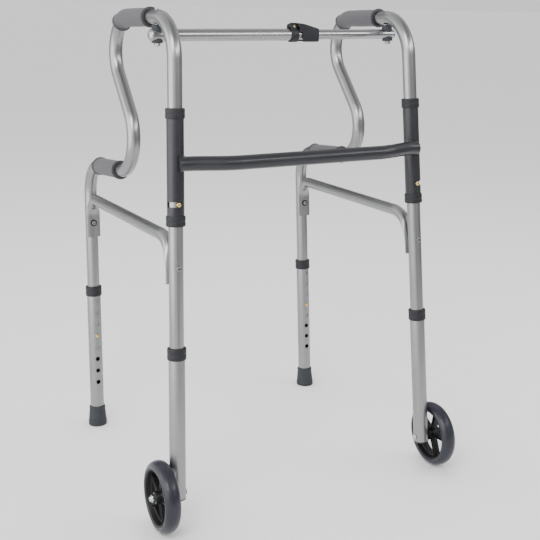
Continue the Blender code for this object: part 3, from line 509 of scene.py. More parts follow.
def make_sleeve(label, side):
    bore = 13.35 * MM
    matrix = leg_frame(side, False, SLEEVE_BOTTOM_Z)
    length = (SLEEVE_TOP_Z - SLEEVE_BOTTOM_Z) / matrix.col[2].z
    profile = tube_profile(SLEEVE, bore, 0, length)
    sleeve = turned(f"{label}_sleeve_fine", profile, matrix, PAINT, 96, True)
    button = leg_frame(side, False, SLEEVE_BUTTON_Z)
    half = 4.7 * MM
    round_end = hole(facing_front(button @ Matrix.Translation((-side * 0.5 * MM, 0, 0))), half, 24 * MM)
    slot_arc = math.radians(88)
    rings = []
    for step in range(25):
        turn = -math.pi / 2 + side * slot_arc * step / 24
        out = Vector((math.cos(turn), math.sin(turn), 0))
        corners = [(11 * MM, -half), (20 * MM, -half), (20 * MM, half), (11 * MM, half)]
        rings.append([button @ (out * radius + Vector((0, 0, height))) for radius, height in corners])
    sweep = skin("tool", rings, None)
    combine(sleeve, [round_end, sweep])
    place(sleeve, "front_frame", f"{label}_sleeve", slot="painted_tube")
    for end, height, flip in (("top", SLEEVE_TOP_Z, 0), ("bottom", SLEEVE_BOTTOM_Z, math.pi)):
        node = f"{label}_sleeve_{end}_collar"
        collar(f"{node}_fine", leg_frame(side, False, height) @ Matrix.Rotation(flip, 4, "X"), "front_frame",
               16.9 * MM, 15.3 * MM, bore, 18 * MM, node)


def make_crossbar():
    """Bowed tube, coped to the sleeves, with a weld bead round each joint."""
    height = CROSSBAR_Z
    radius = 12.7 * MM
    ahead_of_sleeve = 17 * MM
    bow = 24 * MM
    end = leg_axis(1, False, height)
    end_y = end.y - ahead_of_sleeve
    points = []
    count = 120
    for index in range(count + 1):
        x = -end.x + 2 * end.x * index / count
        share = min(1.0, (end.x - abs(x)) / (0.42 * end.x))
        points.append(Vector((x, end_y - bow * (1 - math.cos(math.pi * share)) / 2, height)))
    bar = swept("front_crossbar_fine", points, radius, PAINT, 64, 1.6 * MM)
    combine(bar, [hole(leg_frame(side, False, height - 40 * MM), SLEEVE + 0.1 * MM, 80 * MM, steps=64)
                  for side in (-1, 1)])
    place(bar, "front_frame", "front_crossbar", slot="painted_tube")
    for label, side in SIDES.items():
        for upper in (-1, 1):
            bead = []
            for step in range(15):
                turn = math.radians(90 - 78 * step / 14) * upper
                drop_y = -ahead_of_sleeve + radius * math.cos(turn)
                z = height + (radius + 0.3 * MM) * math.sin(turn)
                axis = leg_axis(side, False, z)
                if abs(drop_y) > SLEEVE:
                    drop_y = -SLEEVE
                x = axis.x - side * math.sqrt(max(0.0, SLEEVE ** 2 - drop_y ** 2))
                bead.append(Vector((x - side * 0.8 * MM, axis.y + drop_y - 0.4 * MM, z)))
            radii = [(1.5 + 0.35 * math.sin(index * 2.1)) * MM for index in range(len(bead))]
            weld = swept(f"{label}_weld_{'upper' if upper > 0 else 'lower'}", bead, radii, PAINT, 16)
            place(weld, "front_frame", slot="painted_tube")
    # closed tube ends in front of the sleeves
    for label, side in SIDES.items():
        matrix = along_x(points[0 if side < 0 else -1] - Vector((side * 1.2 * MM, 0, 0)), side)
        rim = radius - 1.7 * MM
        profile = [(0, 1.4 * MM), (rim, 1.4 * MM), (rim, 0), (0, 0)]
        disc = turned(f"{label}_crossbar_end", profile, matrix, PAINT, 48, ease=0.4 * MM)
        combine(disc, [hole(leg_frame(side, False, height - 40 * MM), SLEEVE + 0.2 * MM, 80 * MM, steps=64)])
        place(disc, "front_frame", slot="painted_tube")


# ---------------------------------------------------------------- sides

def on_side(side, path):
    return [side_point(side, point.x, point.y) for point in path]


def make_side_tube(label, side, body):
    tube = swept(f"{label}_side_tube_fine", on_side(side, side_path()), TUBE, ALUMINIUM, 56, 1.3 * MM)
    combine(tube, [hole(facing_front(leg_frame(side, False, SLEEVE_BUTTON_Z)), 4.4 * MM, 20 * MM),
                   hole(facing_rear(leg_frame(side, False, FRONT_BUTTON_Z)), 4.4 * MM, 20 * MM),
                   hole(facing_front(leg_frame(side, True, REAR_BUTTON_Z)), 4.4 * MM, 20 * MM)])
    place(tube, body, f"{label}_side_tube", slot="satin_aluminium")


def stretch(path, start, end):
    return [point for point in path if start <= point.x <= end]


def resampled(points, lengths, steps):
    """The points at even distances along the path."""
    result = []
    for step in range(steps + 1):
        along = lengths[-1] * step / steps
        beyond = next((i for i, length in enumerate(lengths) if length > along), len(lengths))
        index = max(0, min(len(lengths) - 2, beyond - 1))
        share = (along - lengths[index]) / (lengths[index + 1] - lengths[index])
        result.append(points[index].lerp(points[index + 1], share))
    return result


def make_grips(label, side, body):
    path = side_path()
    handle_z = 750 * MM
    rearmost = next(i for i in range(len(path))
                    if path[i].y > handle_z and path[i + 1].x < path[i].x - 1e-6)
    foremost = next(i for i in range(rearmost, len(path)) if path[i + 1].x > path[i].x)
    rim_profile = [(17.9 * MM, 0.9 * MM), (18.5 * MM, 0.2 * MM), (18.5 * MM, -2.4 * MM),
                   (16.4 * MM, -5.4 * MM), (13.1 * MM, -5.4 * MM), (13.1 * MM, 0.9 * MM)]
    spans = {"upper": stretch(path[:rearmost + 1], FRONT_Y + 139 * MM, FRONT_Y + 287.5 * MM),
             "lower": stretch(path[foremost:], FRONT_Y + 280 * MM, FRONT_Y + 411.5 * MM)}
    for which, points in spans.items():
        centre = on_side(side, points)
        fine = 90
        places = resampled(centre, running_lengths(centre), fine)
        radii = [grip_radius(step / fine) for step in range(fine + 1)]
        grip = swept(f"{label}_{which}_grip_foam", places, radii, FOAM, 64)
        through = [places[0] * 2 - places[1]] + places + [places[-1] * 2 - places[-2]]
        combine(grip, [swept("tool", through, TUBE + 0.15 * MM, None, 48)])
        place(grip, body, f"{label}_{which}_grip", slot="grip_foam")
        for index, (first, second) in enumerate(((places[0], places[1]), (places[-1], places[-2]))):
            out = (first - second).normalized()
            turn = out.to_track_quat("Z", "Y").to_matrix().to_4x4()
            rim = turned(f"{label}_{which}_grip_rim_{index}", rim_profile,
                         Matrix.Translation(first) @ turn, GRIP_RIM, ring=True)
            place(rim, body, slot="grip_foam")


def grip_radius(share):
    """Slightly barrelled, pinched just inside the rims."""
    belly = math.sin(math.pi * share) ** 0.6
    return (16.2 + 0.8 * belly) * MM


def make_brace(label, side, body):
    wide_flat, thick_flat, round_radius = 14.2 * MM, 3.0 * MM, 11.1 * MM
    front_flat, rear_flat = 38 * MM, 47 * MM
    front_blend, rear_blend = 46 * MM, 28 * MM
    inwards = Vector((TUBE + thick_flat - 2.6 * MM, 0))
    corners = [leg_axis(1, False, 430 * MM).yz + inwards, leg_axis(1, False, 505.5 * MM).yz + inwards,
               leg_axis(1, True, 493.5 * MM).yz - inwards, leg_axis(1, True, 412 * MM).yz - inwards]
    path = rounded_path(corners, (60 * MM, 26 * MM), 4.0, 5 * MM)
    lengths = running_lengths(path)
    sides = 48
    rings = []
    inner = []
    wall = 1.2 * MM
    for index, point in enumerate(path):
        ahead = heading(path, index)
        from_front = (lengths[index] - front_flat) / front_blend
        from_rear = (lengths[-1] - lengths[index] - rear_flat) / rear_blend
        grow = max(0.0, min(1.0, from_front, from_rear))
        grow = grow * grow * (3 - 2 * grow)
        wide = wide_flat + (round_radius - wide_flat) * grow
        thick = thick_flat + (round_radius - thick_flat) * grow
        outer_ring = []
        inner_ring = []
        for step in range(sides):
            t = 2 * math.pi * step / sides
            for ring, inset in ((outer_ring, 0.0), (inner_ring, wall)):
                across = (wide - inset) * math.cos(t)
                upward = (thick - inset) * math.sin(t)
                spot = side_point(side, point.x - ahead.y * upward, point.y + ahead.x * upward)
                ring.append(spot + Vector((across, 0, 0)))
        rings.append(outer_ring)
        inner.append(inner_ring)
    brace = skin(f"{label}_brace_fine", rings + list(reversed(inner)), ALUMINIUM, closed=True)
    combine(brace, [hole(leg_frame(side, rear, 350 * MM), TUBE + 0.2 * MM, 240 * MM, steps=64)
                    for rear in (False, True)])
    place(brace, body, f"{label}_brace", slot="satin_aluminium")


def cross_recess(matrix, top, reach, depth=1.4 * MM):
    """Tool for a cross recess in a screw head."""
    arms = []
    half = 0.55 * MM
    points = [(-reach, -half), (reach, -half), (reach, half), (-reach, half)]
    for turn in (0, math.pi / 2):
        lay = matrix @ Matrix.Translation((0, 0, top)) @ Matrix.Rotation(turn + 0.4, 4, "Z")
        arms.append(outline("tool", points, depth * 2, lay, None, bevel=0))
    return arms


def screw(name, matrix, start, head, rise, length, body, node):
    shank = 2.6 * MM
    dome = [(head * math.sin(a), start + rise * (0.45 + 0.55 * math.cos(a))) for a in quarter_turn(8)]
    profile = dome + [(head, start), (shank, start), (shank, start - length), (0, start - length)]
    piece = turned(name, profile, matrix, SCREW_STEEL, 48, ease=0)
    combine(piece, cross_recess(matrix, start + rise, head * 0.55))
    place(piece, body, node, slot="zinc_steel")


def make_fasteners(label, side, body):
    front = facing_front(leg_frame(side, False, 460 * MM))
    screw(f"{label}_brace_front_screw_fine", front, 13 * MM, 4.7 * MM, 2.7 * MM, 31.5 * MM, body,
          f"{label}_brace_front_screw")
    outside = 16.4 * MM
    rear = facing_front(leg_frame(side, True, 441 * MM))
    profile = tube_profile(6.9 * MM, 2.9 * MM, outside, outside + 1.6 * MM)
    washer = turned(f"{label}_brace_rear_washer_fine", profile, rear, COLLAR, 48, True)
    place(washer, body, f"{label}_brace_rear_washer", slot="collar_plastic")
    screw(f"{label}_brace_rear_screw_fine", rear, outside + 1.9 * MM, 4.3 * MM, 2.4 * MM, 26 * MM, body,
          f"{label}_brace_rear_screw")
    matrix = bolt_frame(side, 0)
    top = 44.9 * MM
    head, rise = 5.0 * MM, 1.3 * MM
    dome = [(head * math.sin(a), top + rise * (0.25 + 0.75 * math.cos(a))) for a in quarter_turn(10)]
    profile = dome + [(head, top), (3.2 * MM, top), (3.2 * MM, -19 * MM),
                      (2.6 * MM, -19.8 * MM), (0, -19.8 * MM)]
    bolt = turned(f"{label}_bar_bolt_fine", profile, matrix, STEEL, 48, ease=0)
    combine(bolt, cross_recess(matrix, top + rise, 2.6 * MM, 0.8 * MM))
    place(bolt, body, f"{label}_bar_bolt", slot="zinc_steel")
    nut = hex_nut(f"{label}_bar_nut_fine", matrix, 5.6 * MM, 3.4 * MM, -18.9 * MM, -13.7 * MM, False)
    place(nut, body, f"{label}_bar_nut", slot="zinc_steel")


def hex_nut(name, matrix, corner, bore, bottom, top, acorn, dome=4.0 * MM):
    """Hexagon with chamfered corners; an acorn nut has a dome over its far end."""
    steps = 72
    flat = corner * math.cos(math.pi / 6)
    turns = [2 * math.pi * index / steps for index in range(steps)]
    rings = []

    def circle(radius, height):
        return [matrix @ Vector((radius * math.cos(t), radius * math.sin(t), height)) for t in turns]

    line = [(0.86, bottom), (1.0, bottom + 0.7 * MM), (1.0, top - 0.7 * MM), (0.86, top)]
    for limit, height in line:
        ring = []
        for t in turns:
            away = (t + math.pi / 6) % (math.pi / 3) - math.pi / 6
            hexagon = flat / math.cos(away)
            radius = min(hexagon, flat * 1.02 + (corner - flat) * (limit - 0.86) / 0.14)
            ring.append(matrix @ Vector((radius * math.cos(t), radius * math.sin(t), height)))
        rings.append(ring)
    if acorn:
        for a in quarter_turn(8)[1:-1]:
            rings.append(circle(flat * 0.88 * math.cos(a), top + dome * math.sin(a)))
        rings.append(circle(0, top + dome))
        return skin(name, rings, STEEL)
    rings += [circle(bore, top), circle(bore, bottom)]
    return skin(name, rings, STEEL, closed=True)


def make_button(label, which, matrix, tip):
    node = f"{label}_{which}_button"
    radius = 3.9 * MM
    rise = 1.5 * MM
    foot = 7.5 * MM
    dome = [(radius * math.sin(a), tip - rise + rise * math.cos(a)) for a in quarter_turn(8)]
    button = turned(f"{node}_fine", dome + [(radius, foot), (0, foot)], matrix, BRASS, 40, ease=0)
    place(button, node, node, slot="brass")
    half = 3.4 * MM
    strip = [(-half, 3 * MM), (half, 3 * MM), (half, -26 * MM), (-half, -26 * MM)]
    if which == "front_leg":
        strip = [(x, -y) for x, y in reversed(strip)]
    under = matrix @ Matrix.Translation((0, 0, 7.0 * MM))
    leaf = outline(f"{node}_leaf", strip, 0.9 * MM, under, STEEL, 0.3 * MM)
    place(leaf, node, slot="brass")


# ---------------------------------------------------------------- telescopic legs

def make_leg(label, side, rear):
    body = f"{label}_{'rear' if rear else 'front'}_leg"
    bottom = 8 * MM if rear else FRONT_LEG_BOTTOM_Z
    top = ((293 if rear else 311) + 6.5) * MM
    matrix = leg_frame(side, rear, bottom)
    length = (top - bottom) / matrix.col[2].z
    leg = turned(f"{body}_fine", tube_profile(LEG, LEG_BORE, 0, length), matrix, LEG_METAL, 72, True)
    face = facing_front if rear else facing_rear
    button = REAR_BUTTON_Z if rear else FRONT_BUTTON_Z
    rise = matrix.col[2].z * PITCH
    tools = [hole(face(leg_frame(side, rear, button + place_up * rise)), 4.6 * MM, 20 * MM)
             for place_up in range(3, -5, -1)]
    if not rear:
        tools.append(hole(axle_frame(side), 4.3 * MM, 40 * MM, -20 * MM))
    combine(leg, tools)
    place(leg, body, body, slot="satin_aluminium")
    collar(f"{body}_collar_fine", leg_frame(side, rear, top), body, 16.8 * MM, 14.6 * MM, LEG_BORE, 21 * MM,
           f"{body}_collar")


def make_tip(label, side):
    body = f"{label}_rear_leg"
    base = 2.0 * MM
    profile = [(15.4 * MM, 41 * MM), (16.7 * MM, 39.6 * MM), (16.9 * MM, 34 * MM), (16.5 * MM, 33.2 * MM),
               (16.8 * MM, 32.4 * MM), (18.6 * MM, 12 * MM), (18.3 * MM, 11.2 * MM), (18.3 * MM, 10.4 * MM),
               (19.3 * MM, 9.6 * MM), (19.4 * MM, base), (19.2 * MM, -4 * MM), (0, -4 * MM), (0, 7.5 * MM),
               (14.5 * MM, 7.5 * MM), (14.5 * MM, 41 * MM)]
    tip = turned(f"{label}_rear_tip_fine", profile, leg_frame(side, True, 0), RUBBER, 72, True)
    ground = leg_axis(side, True, 0)
    half = 40 * MM
    square = [(-half, -half), (half, -half), (half, half), (-half, half)]
    below = outline("tool", square, half, Matrix.Translation((ground.x, ground.y, -half / 2)), None, bevel=0)
    combine(tip, [below])
    place(tip, body, f"{label}_rear_tip", slot="tip_rubber")


def make_plug(label, side):
    body = f"{label}_front_leg"
    inside = 12.85 * MM
    lip = LEG + 0.2 * MM
    profile = [(0, 4 * MM), (inside, 4 * MM), (inside, -0.2 * MM), (lip, -0.2 * MM), (lip, -1.8 * MM),
               (LEG * 0.8, -3.2 * MM), (0, -3.8 * MM)]
    matrix = leg_frame(side, False, FRONT_LEG_BOTTOM_Z)
    plug = turned(f"{label}_leg_plug_fine", profile, matrix, COLLAR, 64, ease=0.8 * MM)
    place(plug, body, f"{label}_leg_end_plug", slot="collar_plastic")


# ---------------------------------------------------------------- wheels

def axle_frame(side):
    return along_x(leg_axis(side, False, WHEEL), side)


def make_axle(label, side):
    body = f"{label}_front_leg"
    matrix = axle_frame(side)
    head_z = -14.6 * MM
    end = WHEEL_OFFSET + HUB_HALF + 9.2 * MM
    profile = [(0, end), (3.6 * MM, end), (4 * MM, end - 0.6 * MM), (4 * MM, head_z), (5.5 * MM, head_z),
               (5.4 * MM, head_z - 1.0 * MM), (3.4 * MM, head_z - 2.0 * MM), (0, head_z - 2.2 * MM)]
    bolt = turned(f"{label}_axle_bolt_fine", profile, matrix, STEEL, 48, ease=0.3 * MM)
    place(bolt, body, f"{label}_axle_bolt", slot="zinc_steel")
    bottom = WHEEL_OFFSET + HUB_HALF + 0.3 * MM
    nut = hex_nut(f"{label}_axle_nut_fine", matrix, 7.2 * MM, 4.3 * MM, bottom, bottom + 5 * MM, True,
                  4.6 * MM)
    place(nut, body, f"{label}_axle_nut", slot="zinc_steel")


def make_wheel(label, side):
    body = f"{label}_wheel"
    matrix = axle_frame(side) @ Matrix.Translation((0, 0, WHEEL_OFFSET))
    hub_radius = 49 * MM
    inner = 45.5 * MM
    boss = 11.5 * MM
    web = 2.8 * MM
    rim = 13 * MM
    near_half = [(4.3 * MM, HUB_HALF), (boss - 1 * MM, HUB_HALF), (boss, web + 1.5 * MM),
                 (boss + 2 * MM, web), (inner - 1.5 * MM, web), (inner, web + 1 * MM),
                 (inner + 1.4 * MM, rim)]
    far_half = [(radius, -height) for radius, height in reversed(near_half)]
    profile = [(hub_radius, rim), (hub_radius, -rim)] + far_half + near_half
    hub = turned(f"{label}_hub_fine", profile, matrix, HUB, 120, True, ease=0.6 * MM)
    first_opening = math.radians(23)
    start = first_opening if side < 0 else math.pi - first_opening
    spokes = 5
    near, far = 15.5 * MM, 43 * MM
    half_spoke = 4.2 * MM
    half_angle = math.pi / spokes
    near_turn = half_angle - math.asin(half_spoke / near)
    far_turn = half_angle - math.asin(half_spoke / far)
    arc = [(far, far_turn * (2 * i / 12 - 1)) for i in range(13)]
    corners = [(near, -near_turn)] + arc + [(near, near_turn)]
    tools = []
    ribs = []
    for index in range(spokes):
        middle = start + 2 * math.pi * index / spokes
        points = [(radius * math.cos(middle + turn), radius * math.sin(middle + turn))
                  for radius, turn in corners]
        tools.append(outline("tool", eased(points, 3 * MM, 4, closed=True), 16 * MM, matrix, None, bevel=0))
        spoke = middle + half_angle
        for across in (-1, 1):
            ribs.append(spoke_rib(matrix, spoke, across, boss, inner, web))
    combine(hub, tools)
    combine(hub, ribs, "UNION")
    place(hub, body, f"{label}_wheel_hub", slot="hub_plastic")
    tyre = turned(f"{label}_tyre_fine", tyre_section(), matrix, TYRE, 144, True, ease=0, sharp=50)
    place(tyre, body, f"{label}_tyre", slot="tyre_rubber")


def spoke_rib(matrix, spoke, across, boss, inner, web):
    """One of the two raised ribs along a spoke's edges, on both faces of the web."""
    half = 0.9 * MM
    middle = across * 2.9 * MM
    start, end = boss - 1.5 * MM, inner + 1 * MM
    points = [(start, middle - half), (end, middle - half), (end, middle + half), (start, middle + half)]
    turn = Matrix.Rotation(spoke, 4, "Z")
    return outline("tool", points, 2 * web + 6.4 * MM, matrix @ turn, None, bevel=0.4 * MM, segments=2)


def tyre_section():
    """Round shoulders, a faint mould line on the crown and a small bead groove by the hub."""
    half = 14.8 * MM
    seat = 49.15 * MM
    crown = WHEEL - seat
    section = [(seat, half * 0.84), (seat + 0.5 * MM, half * 0.89), (seat + 1.1 * MM, half * 0.94)]
    for step in range(2, 39):
        angle = math.pi * step / 40
        radius = seat + crown * math.sin(angle) ** 0.8
        if step == 20:
            section += [(radius, 0.35 * MM), (radius - 0.25 * MM, 0.0), (radius, -0.35 * MM)]
            continue
        section.append((radius, half * math.cos(angle)))
    section += [(seat + 1.1 * MM, -half * 0.94), (seat + 0.5 * MM, -half * 0.89), (seat, -half * 0.84)]
    return section


# ---------------------------------------------------------------- top bar

def bar_tube(name, radius, bore, length, matrix, body, node, side):
    rise = radius * 0.6
    dome = [(radius * math.sin(a), length - rise * (1 - math.cos(a))) for a in quarter_turn(12)]
    profile = dome + [(radius, 0.4 * MM), (radius - 0.4 * MM, 0), (bore, 0), (bore, length - rise - 1 * MM),
                      (bore * 0.6, length - rise), (0, length - 2.2 * MM)]
    tube = turned(name, profile, matrix, BAR_METAL, 64, ease=0)
    combine(tube, [hole(bolt_frame(side, -20 * MM), 3.7 * MM, 40 * MM)])
    place(tube, body, node, slot="satin_aluminium")


def make_top_bar():
    end_x = 255.2 * MM
    outer_end = 34 * MM
    inner_end = -20 * MM
    outer_radius = 11.1 * MM
    inner_radius = 9.5 * MM
    bar_tube("bar_outer_fine", outer_radius, 10 * MM, outer_end + end_x,
             along_x((outer_end, BAR_Y, BAR_Z), -1), "bar_outer", "bar_outer_tube", -1)
    bar_tube("bar_inner_fine", inner_radius, 8.2 * MM, end_x - inner_end,
             along_x((inner_end, BAR_Y, BAR_Z), 1), "bar_inner", "bar_inner_tube", 1)
    for label, side in SIDES.items():
        body = "bar_outer" if side < 0 else "bar_inner"
        radius = outer_radius if side < 0 else inner_radius
        for which, low, high in (("spacer", 5 * MM, 17.5 * MM), ("washer", -13.4 * MM, -6 * MM)):
            profile = tube_profile(10 * MM, 3.7 * MM, low, high)
            seat = turned(f"{label}_bar_{which}_fine", profile, bolt_frame(side, 0), RUBBER, 56, True,
                          0.8 * MM)
            bar = hole(along_x((side * 200 * MM, BAR_Y, BAR_Z), side), radius + 0.1 * MM, 120 * MM, steps=48)
            combine(seat, [bar])
            place(seat, body, f"{label}_bar_{which}", slot="tip_rubber")


def make_clip():
    pin_x, pin_z = 26 * MM, BAR_Z + 15.5 * MM
    profile = tube_profile(14 * MM, 11.2 * MM, 0, 14.5 * MM)
    start = along_x((21.5 * MM, BAR_Y, BAR_Z), 1)
    ring = turned("clip_body_fine", profile, start, COLLAR, 72, True, 0.9 * MM)
    pin = Matrix.Translation((pin_x, BAR_Y, pin_z)) @ Matrix.Rotation(math.radians(90), 4, "X")
    lugs = []
    arch = [(-4.5 * MM, -7 * MM), (4.5 * MM, -7 * MM)]
    half_turn = [math.pi * i / 10 for i in range(11)]
    arch += [(4.5 * MM * math.cos(a), 4.2 * MM * math.sin(a)) for a in half_turn]
    for towards in (-1, 1):
        shift = Matrix.Translation((0, 0, towards * 8.85 * MM))
        lugs.append(outline("tool", arch, 5.3 * MM, pin @ shift, None, 0.5 * MM, 2))
    combine(ring, lugs, "UNION")
    pocket = [(-7 * MM, -4.2 * MM), (8 * MM, -4.2 * MM), (8 * MM, 12 * MM), (-7 * MM, 12 * MM)]
    tools = [hole(along_x((0, BAR_Y, BAR_Z), 1), 11.3 * MM, 60 * MM, steps=64),
             outline("tool", pocket, 12.4 * MM, pin, None, bevel=0)]
    combine(ring, tools)
    place(ring, "bar_outer", "clip_body", slot="collar_plastic")
    profile = [(0, 12.7 * MM), (1.3 * MM, 12.7 * MM), (1.9 * MM, 12.1 * MM),
               (1.9 * MM, -12.1 * MM), (1.3 * MM, -12.7 * MM), (0, -12.7 * MM)]
    rod = turned("clip_pin_fine", profile, pin, BRASS, 32, ease=0)
    place(rod, "bar_outer", "clip_pin", slot="brass")
    eye = 3.7 * MM
    arm_low = -0.9 * MM
    near, far = 18 * MM, 52 * MM
    low, top = -28.5 * MM, -3.2 * MM
    ring_clear = 10.6 * MM
    bridge_low = -10.5 * MM
    points = [(eye * math.cos(a), eye * math.sin(a)) for a in
              (math.pi + math.pi * i / 10 * 0.75 for i in range(11))]
    points += [(5.2 * MM, arm_low), (ring_clear, arm_low), (ring_clear, bridge_low), (near, bridge_low),
               (near, low + 1 * MM), (near + 1 * MM, low), (far - 2 * MM, low), (far, low + 2 * MM),
               (far, top - 2.5 * MM), (far - 1 * MM, top - 0.8 * MM), (far - 3 * MM, top),
               (near + 4 * MM, 4.4 * MM), (near - 4 * MM, 5.8 * MM), (2 * MM, 6.3 * MM),
               (-1.5 * MM, 5.6 * MM), (-eye, 4.0 * MM)]
    lever = outline("clip_lever_fine", points, 26 * MM, pin, COLLAR, 0.8 * MM)
    tools = [hole(along_x((pin_x, BAR_Y, BAR_Z), 1), 9.7 * MM, 80 * MM, steps=64)]
    mouth = [(0, -40 * MM), (70 * MM, -40 * MM), (70 * MM, -15.5 * MM), (0, -15.5 * MM)]
    tools.append(outline("tool", mouth, 19.4 * MM, pin, None, bevel=0))
    for towards in (-1, 1):
        cheek = pin @ Matrix.Rotation(0 if towards > 0 else math.pi, 4, "X")
        tools.append(hole(cheek, 7.1 * MM, 20 * MM, 5.8 * MM, 48))
    combine(lever, tools)
    combine(lever, [hole(pin @ Matrix.Translation((0, 0, -20 * MM)), 2.1 * MM, 40 * MM)])
    place(lever, "clip_lever", "clip_lever", slot="collar_plastic")


# ---------------------------------------------------------------- stage

def make_stage():
    """Pale seamless floor, bright soft surroundings, reflector cards and soft lights."""
    mesh = bpy.data.meshes.new("floor")
    bm = bmesh.new()
    bmesh.ops.create_grid(bm, x_segments=2, y_segments=2, size=900.0)
    bm.to_mesh(mesh)
    bm.free()
    floor = bpy.data.objects.new("floor", mesh)
    floor.location.z = -0.0005
    bpy.context.scene.collection.objects.link(floor)
    n = Nodes("floor_look", (0.95, 0.95, 0.95), 0.9)
    n.roughness(n.noise("Object", (3, 3, 3), 2), 0.85, 0.95)
    mesh.materials.append(n.mat)
    world = bpy.data.worlds.new("studio")
    bpy.context.scene.world = world
    world.use_nodes = True
    make_surroundings(world.node_tree)
    add_light("key", (-1.9, -1.9, 2.7), (0, 0, 0.45), 1.6, 62)
    add_light("fill", (2.2, -1.2, 1.6), (0, 0, 0.45), 1.2, 18)
    add_light("top", (0.2, 0.6, 3.0), (0, 0, 0.4), 2.0, 36).visible_glossy = False
    add_card("dark_front", (0.1, -1.55, 0.55), (1.0, 1.6), 0.0, 0.5)
    add_card("gap_front", (0.66, -1.56, 0.55), (0.2, 1.6), 0.0, 1.7)
    add_card("dark_beside", (1.15, -1.55, 0.55), (0.8, 1.6), 0.0, 0.4)
    add_card("dark_right", (1.75, -0.3, 0.6), (2.8, 1.7), 90.0, 0.4)
    add_card("strip_front", (0.9, -1.7, 1.7), (2.6, 0.42), 20.0, 8.0)
    add_card("bright_left", (-1.8, -0.2, 1.0), (2.2, 1.7), 90.0, 4.2)
    add_card("dark_back", (0.9, 2.6, 1.55), (4.6, 2.1), 0.0, 0.35)


def add_card(name, centre, size, turn, shade):
    """An upright card of even brightness that only shiny surfaces see."""
    mesh = bpy.data.meshes.new(name)
    bm = bmesh.new()
    half, rise = size[0] / 2, size[1] / 2
    bm.faces.new([bm.verts.new(corner) for corner in
                  ((-half, 0, -rise), (half, 0, -rise), (half, 0, rise), (-half, 0, rise))])
    bm.to_mesh(mesh)
    bm.free()
    n = Nodes(f"{name}_look", (0.0, 0.0, 0.0), 1.0)
    soft = n.noise("Object", (2, 2, 2), 2)
    n.link(n.remap(soft, 0.3, 0.7, shade * 0.85, shade * 1.15), n.shader.inputs["Emission Strength"])
    n.shader.inputs["Emission Color"].default_value = (1, 1, 1, 1)
    n.shader.inputs["Specular IOR Level"].default_value = 0.0
    mesh.materials.append(n.mat)
    card = bpy.data.objects.new(name, mesh)
    card.location = centre
    card.rotation_euler = (0, 0, math.radians(turn))
    bpy.context.scene.collection.objects.link(card)
    card.visible_camera = False
    card.visible_diffuse = False
    card.visible_shadow = False


def make_surroundings(tree):
    """Soft studio: brightest above the horizon and at the left, dimmer overhead and at the right."""
    background = tree.nodes["Background"]
    source = tree.nodes.new("ShaderNodeTexCoord")
    split = tree.nodes.new("ShaderNodeSeparateXYZ")
    tree.links.new(source.outputs["Generated"], split.inputs["Vector"])
    azimuth = tree.nodes.new("ShaderNodeMath")
    azimuth.operation = "ARCTAN2"
    tree.links.new(split.outputs["Y"], azimuth.inputs[0])
    tree.links.new(split.outputs["X"], azimuth.inputs[1])
    around_shades = ((0.0, 1.0), (0.1, 1.0), (0.2, 0.62), (0.34, 0.5), (0.5, 0.55), (0.62, 0.8), (0.8, 1.0),
                     (1.0, 1.0))
    around = add_ramp(tree, azimuth.outputs["Value"], math.pi, around_shades)
    rise_shades = ((0.0, 0.5), (0.5, 0.54), (0.57, 1.0), (0.85, 0.6), (1.0, 0.45))
    rise = add_ramp(tree, split.outputs["Z"], 1.0, rise_shades)
    product = tree.nodes.new("ShaderNodeMath")
    product.operation = "MULTIPLY"
    tree.links.new(around, product.inputs[0])
    tree.links.new(rise, product.inputs[1])
    tree.links.new(product.outputs["Value"], background.inputs["Color"])
    background.inputs["Strength"].default_value = 2.1


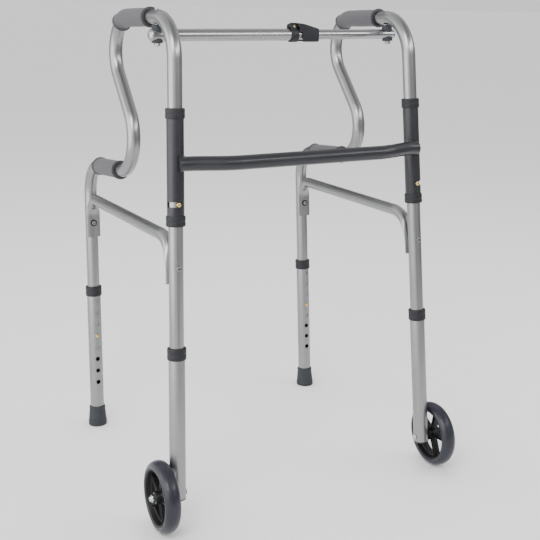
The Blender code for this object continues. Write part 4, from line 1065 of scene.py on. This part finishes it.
def add_ramp(tree, value, reach, shades):
    """A ramp of greys over the value's range from -reach to reach."""
    turn = tree.nodes.new("ShaderNodeMapRange")
    turn.inputs["From Min"].default_value = -reach
    turn.inputs["From Max"].default_value = reach
    tree.links.new(value, turn.inputs["Value"])
    ramp = tree.nodes.new("ShaderNodeValToRGB")
    tree.links.new(turn.outputs["Result"], ramp.inputs["Fac"])
    elements = ramp.color_ramp.elements
    while len(elements) < len(shades):
        elements.new(0.5)
    for element, (place_on_ramp, shade) in zip(elements, shades):
        element.position = place_on_ramp
        element.color = (shade, shade, shade, 1)
    return ramp.outputs["Color"]


def add_light(name, location, target, size, power):
    data = bpy.data.lights.new(name, "AREA")
    data.size = size
    data.energy = power
    light = bpy.data.objects.new(name, data)
    light.location = location
    light.rotation_euler = (Vector(target) - Vector(location)).to_track_quat("-Z", "Y").to_euler()
    bpy.context.scene.collection.objects.link(light)
    return light


def make_camera():
    yaw, pitch, roll = (math.radians(angle) for angle in (-28.6186, 10.5705, 1.117))
    ahead = Vector((-math.sin(yaw) * math.cos(pitch), math.cos(yaw) * math.cos(pitch), -math.sin(pitch)))
    right = Vector((math.cos(yaw), math.sin(yaw), 0))
    up = right.cross(ahead)
    across = right * math.cos(roll) + up * math.sin(roll)
    above = up * math.cos(roll) - right * math.sin(roll)
    data = bpy.data.cameras.new("camera")
    data.lens = 66.84
    data.sensor_width = 36
    data.shift_x = -0.0501
    data.shift_y = -0.1741
    data.clip_end = 50
    camera = bpy.data.objects.new("camera", data)
    rotation = Matrix((across, above, -ahead)).transposed().to_4x4()
    camera.matrix_world = Matrix.Translation((-0.86298, -1.55262 + FRONT_Y, 0.93397)) @ rotation
    bpy.context.scene.collection.objects.link(camera)
    bpy.context.scene.camera = camera


make_stage()
make_camera()
make_crossbar()
for label, side in SIDES.items():
    body = f"{label}_side"
    make_sleeve(label, side)
    make_side_tube(label, side, body)
    make_grips(label, side, body)
    make_brace(label, side, body)
    make_fasteners(label, side, body)
    make_button(label, "sleeve", facing_front(leg_frame(side, False, SLEEVE_BUTTON_Z)), SLEEVE + 2.4 * MM)
    make_button(label, "front_leg", facing_rear(leg_frame(side, False, FRONT_BUTTON_Z)), LEG + 2.4 * MM)
    make_button(label, "rear_leg", facing_front(leg_frame(side, True, REAR_BUTTON_Z)), LEG + 2.4 * MM)
    make_leg(label, side, False)
    make_leg(label, side, True)
    make_tip(label, side)
    make_plug(label, side)
    make_axle(label, side)
    make_wheel(label, side)
make_top_bar()
make_clip()
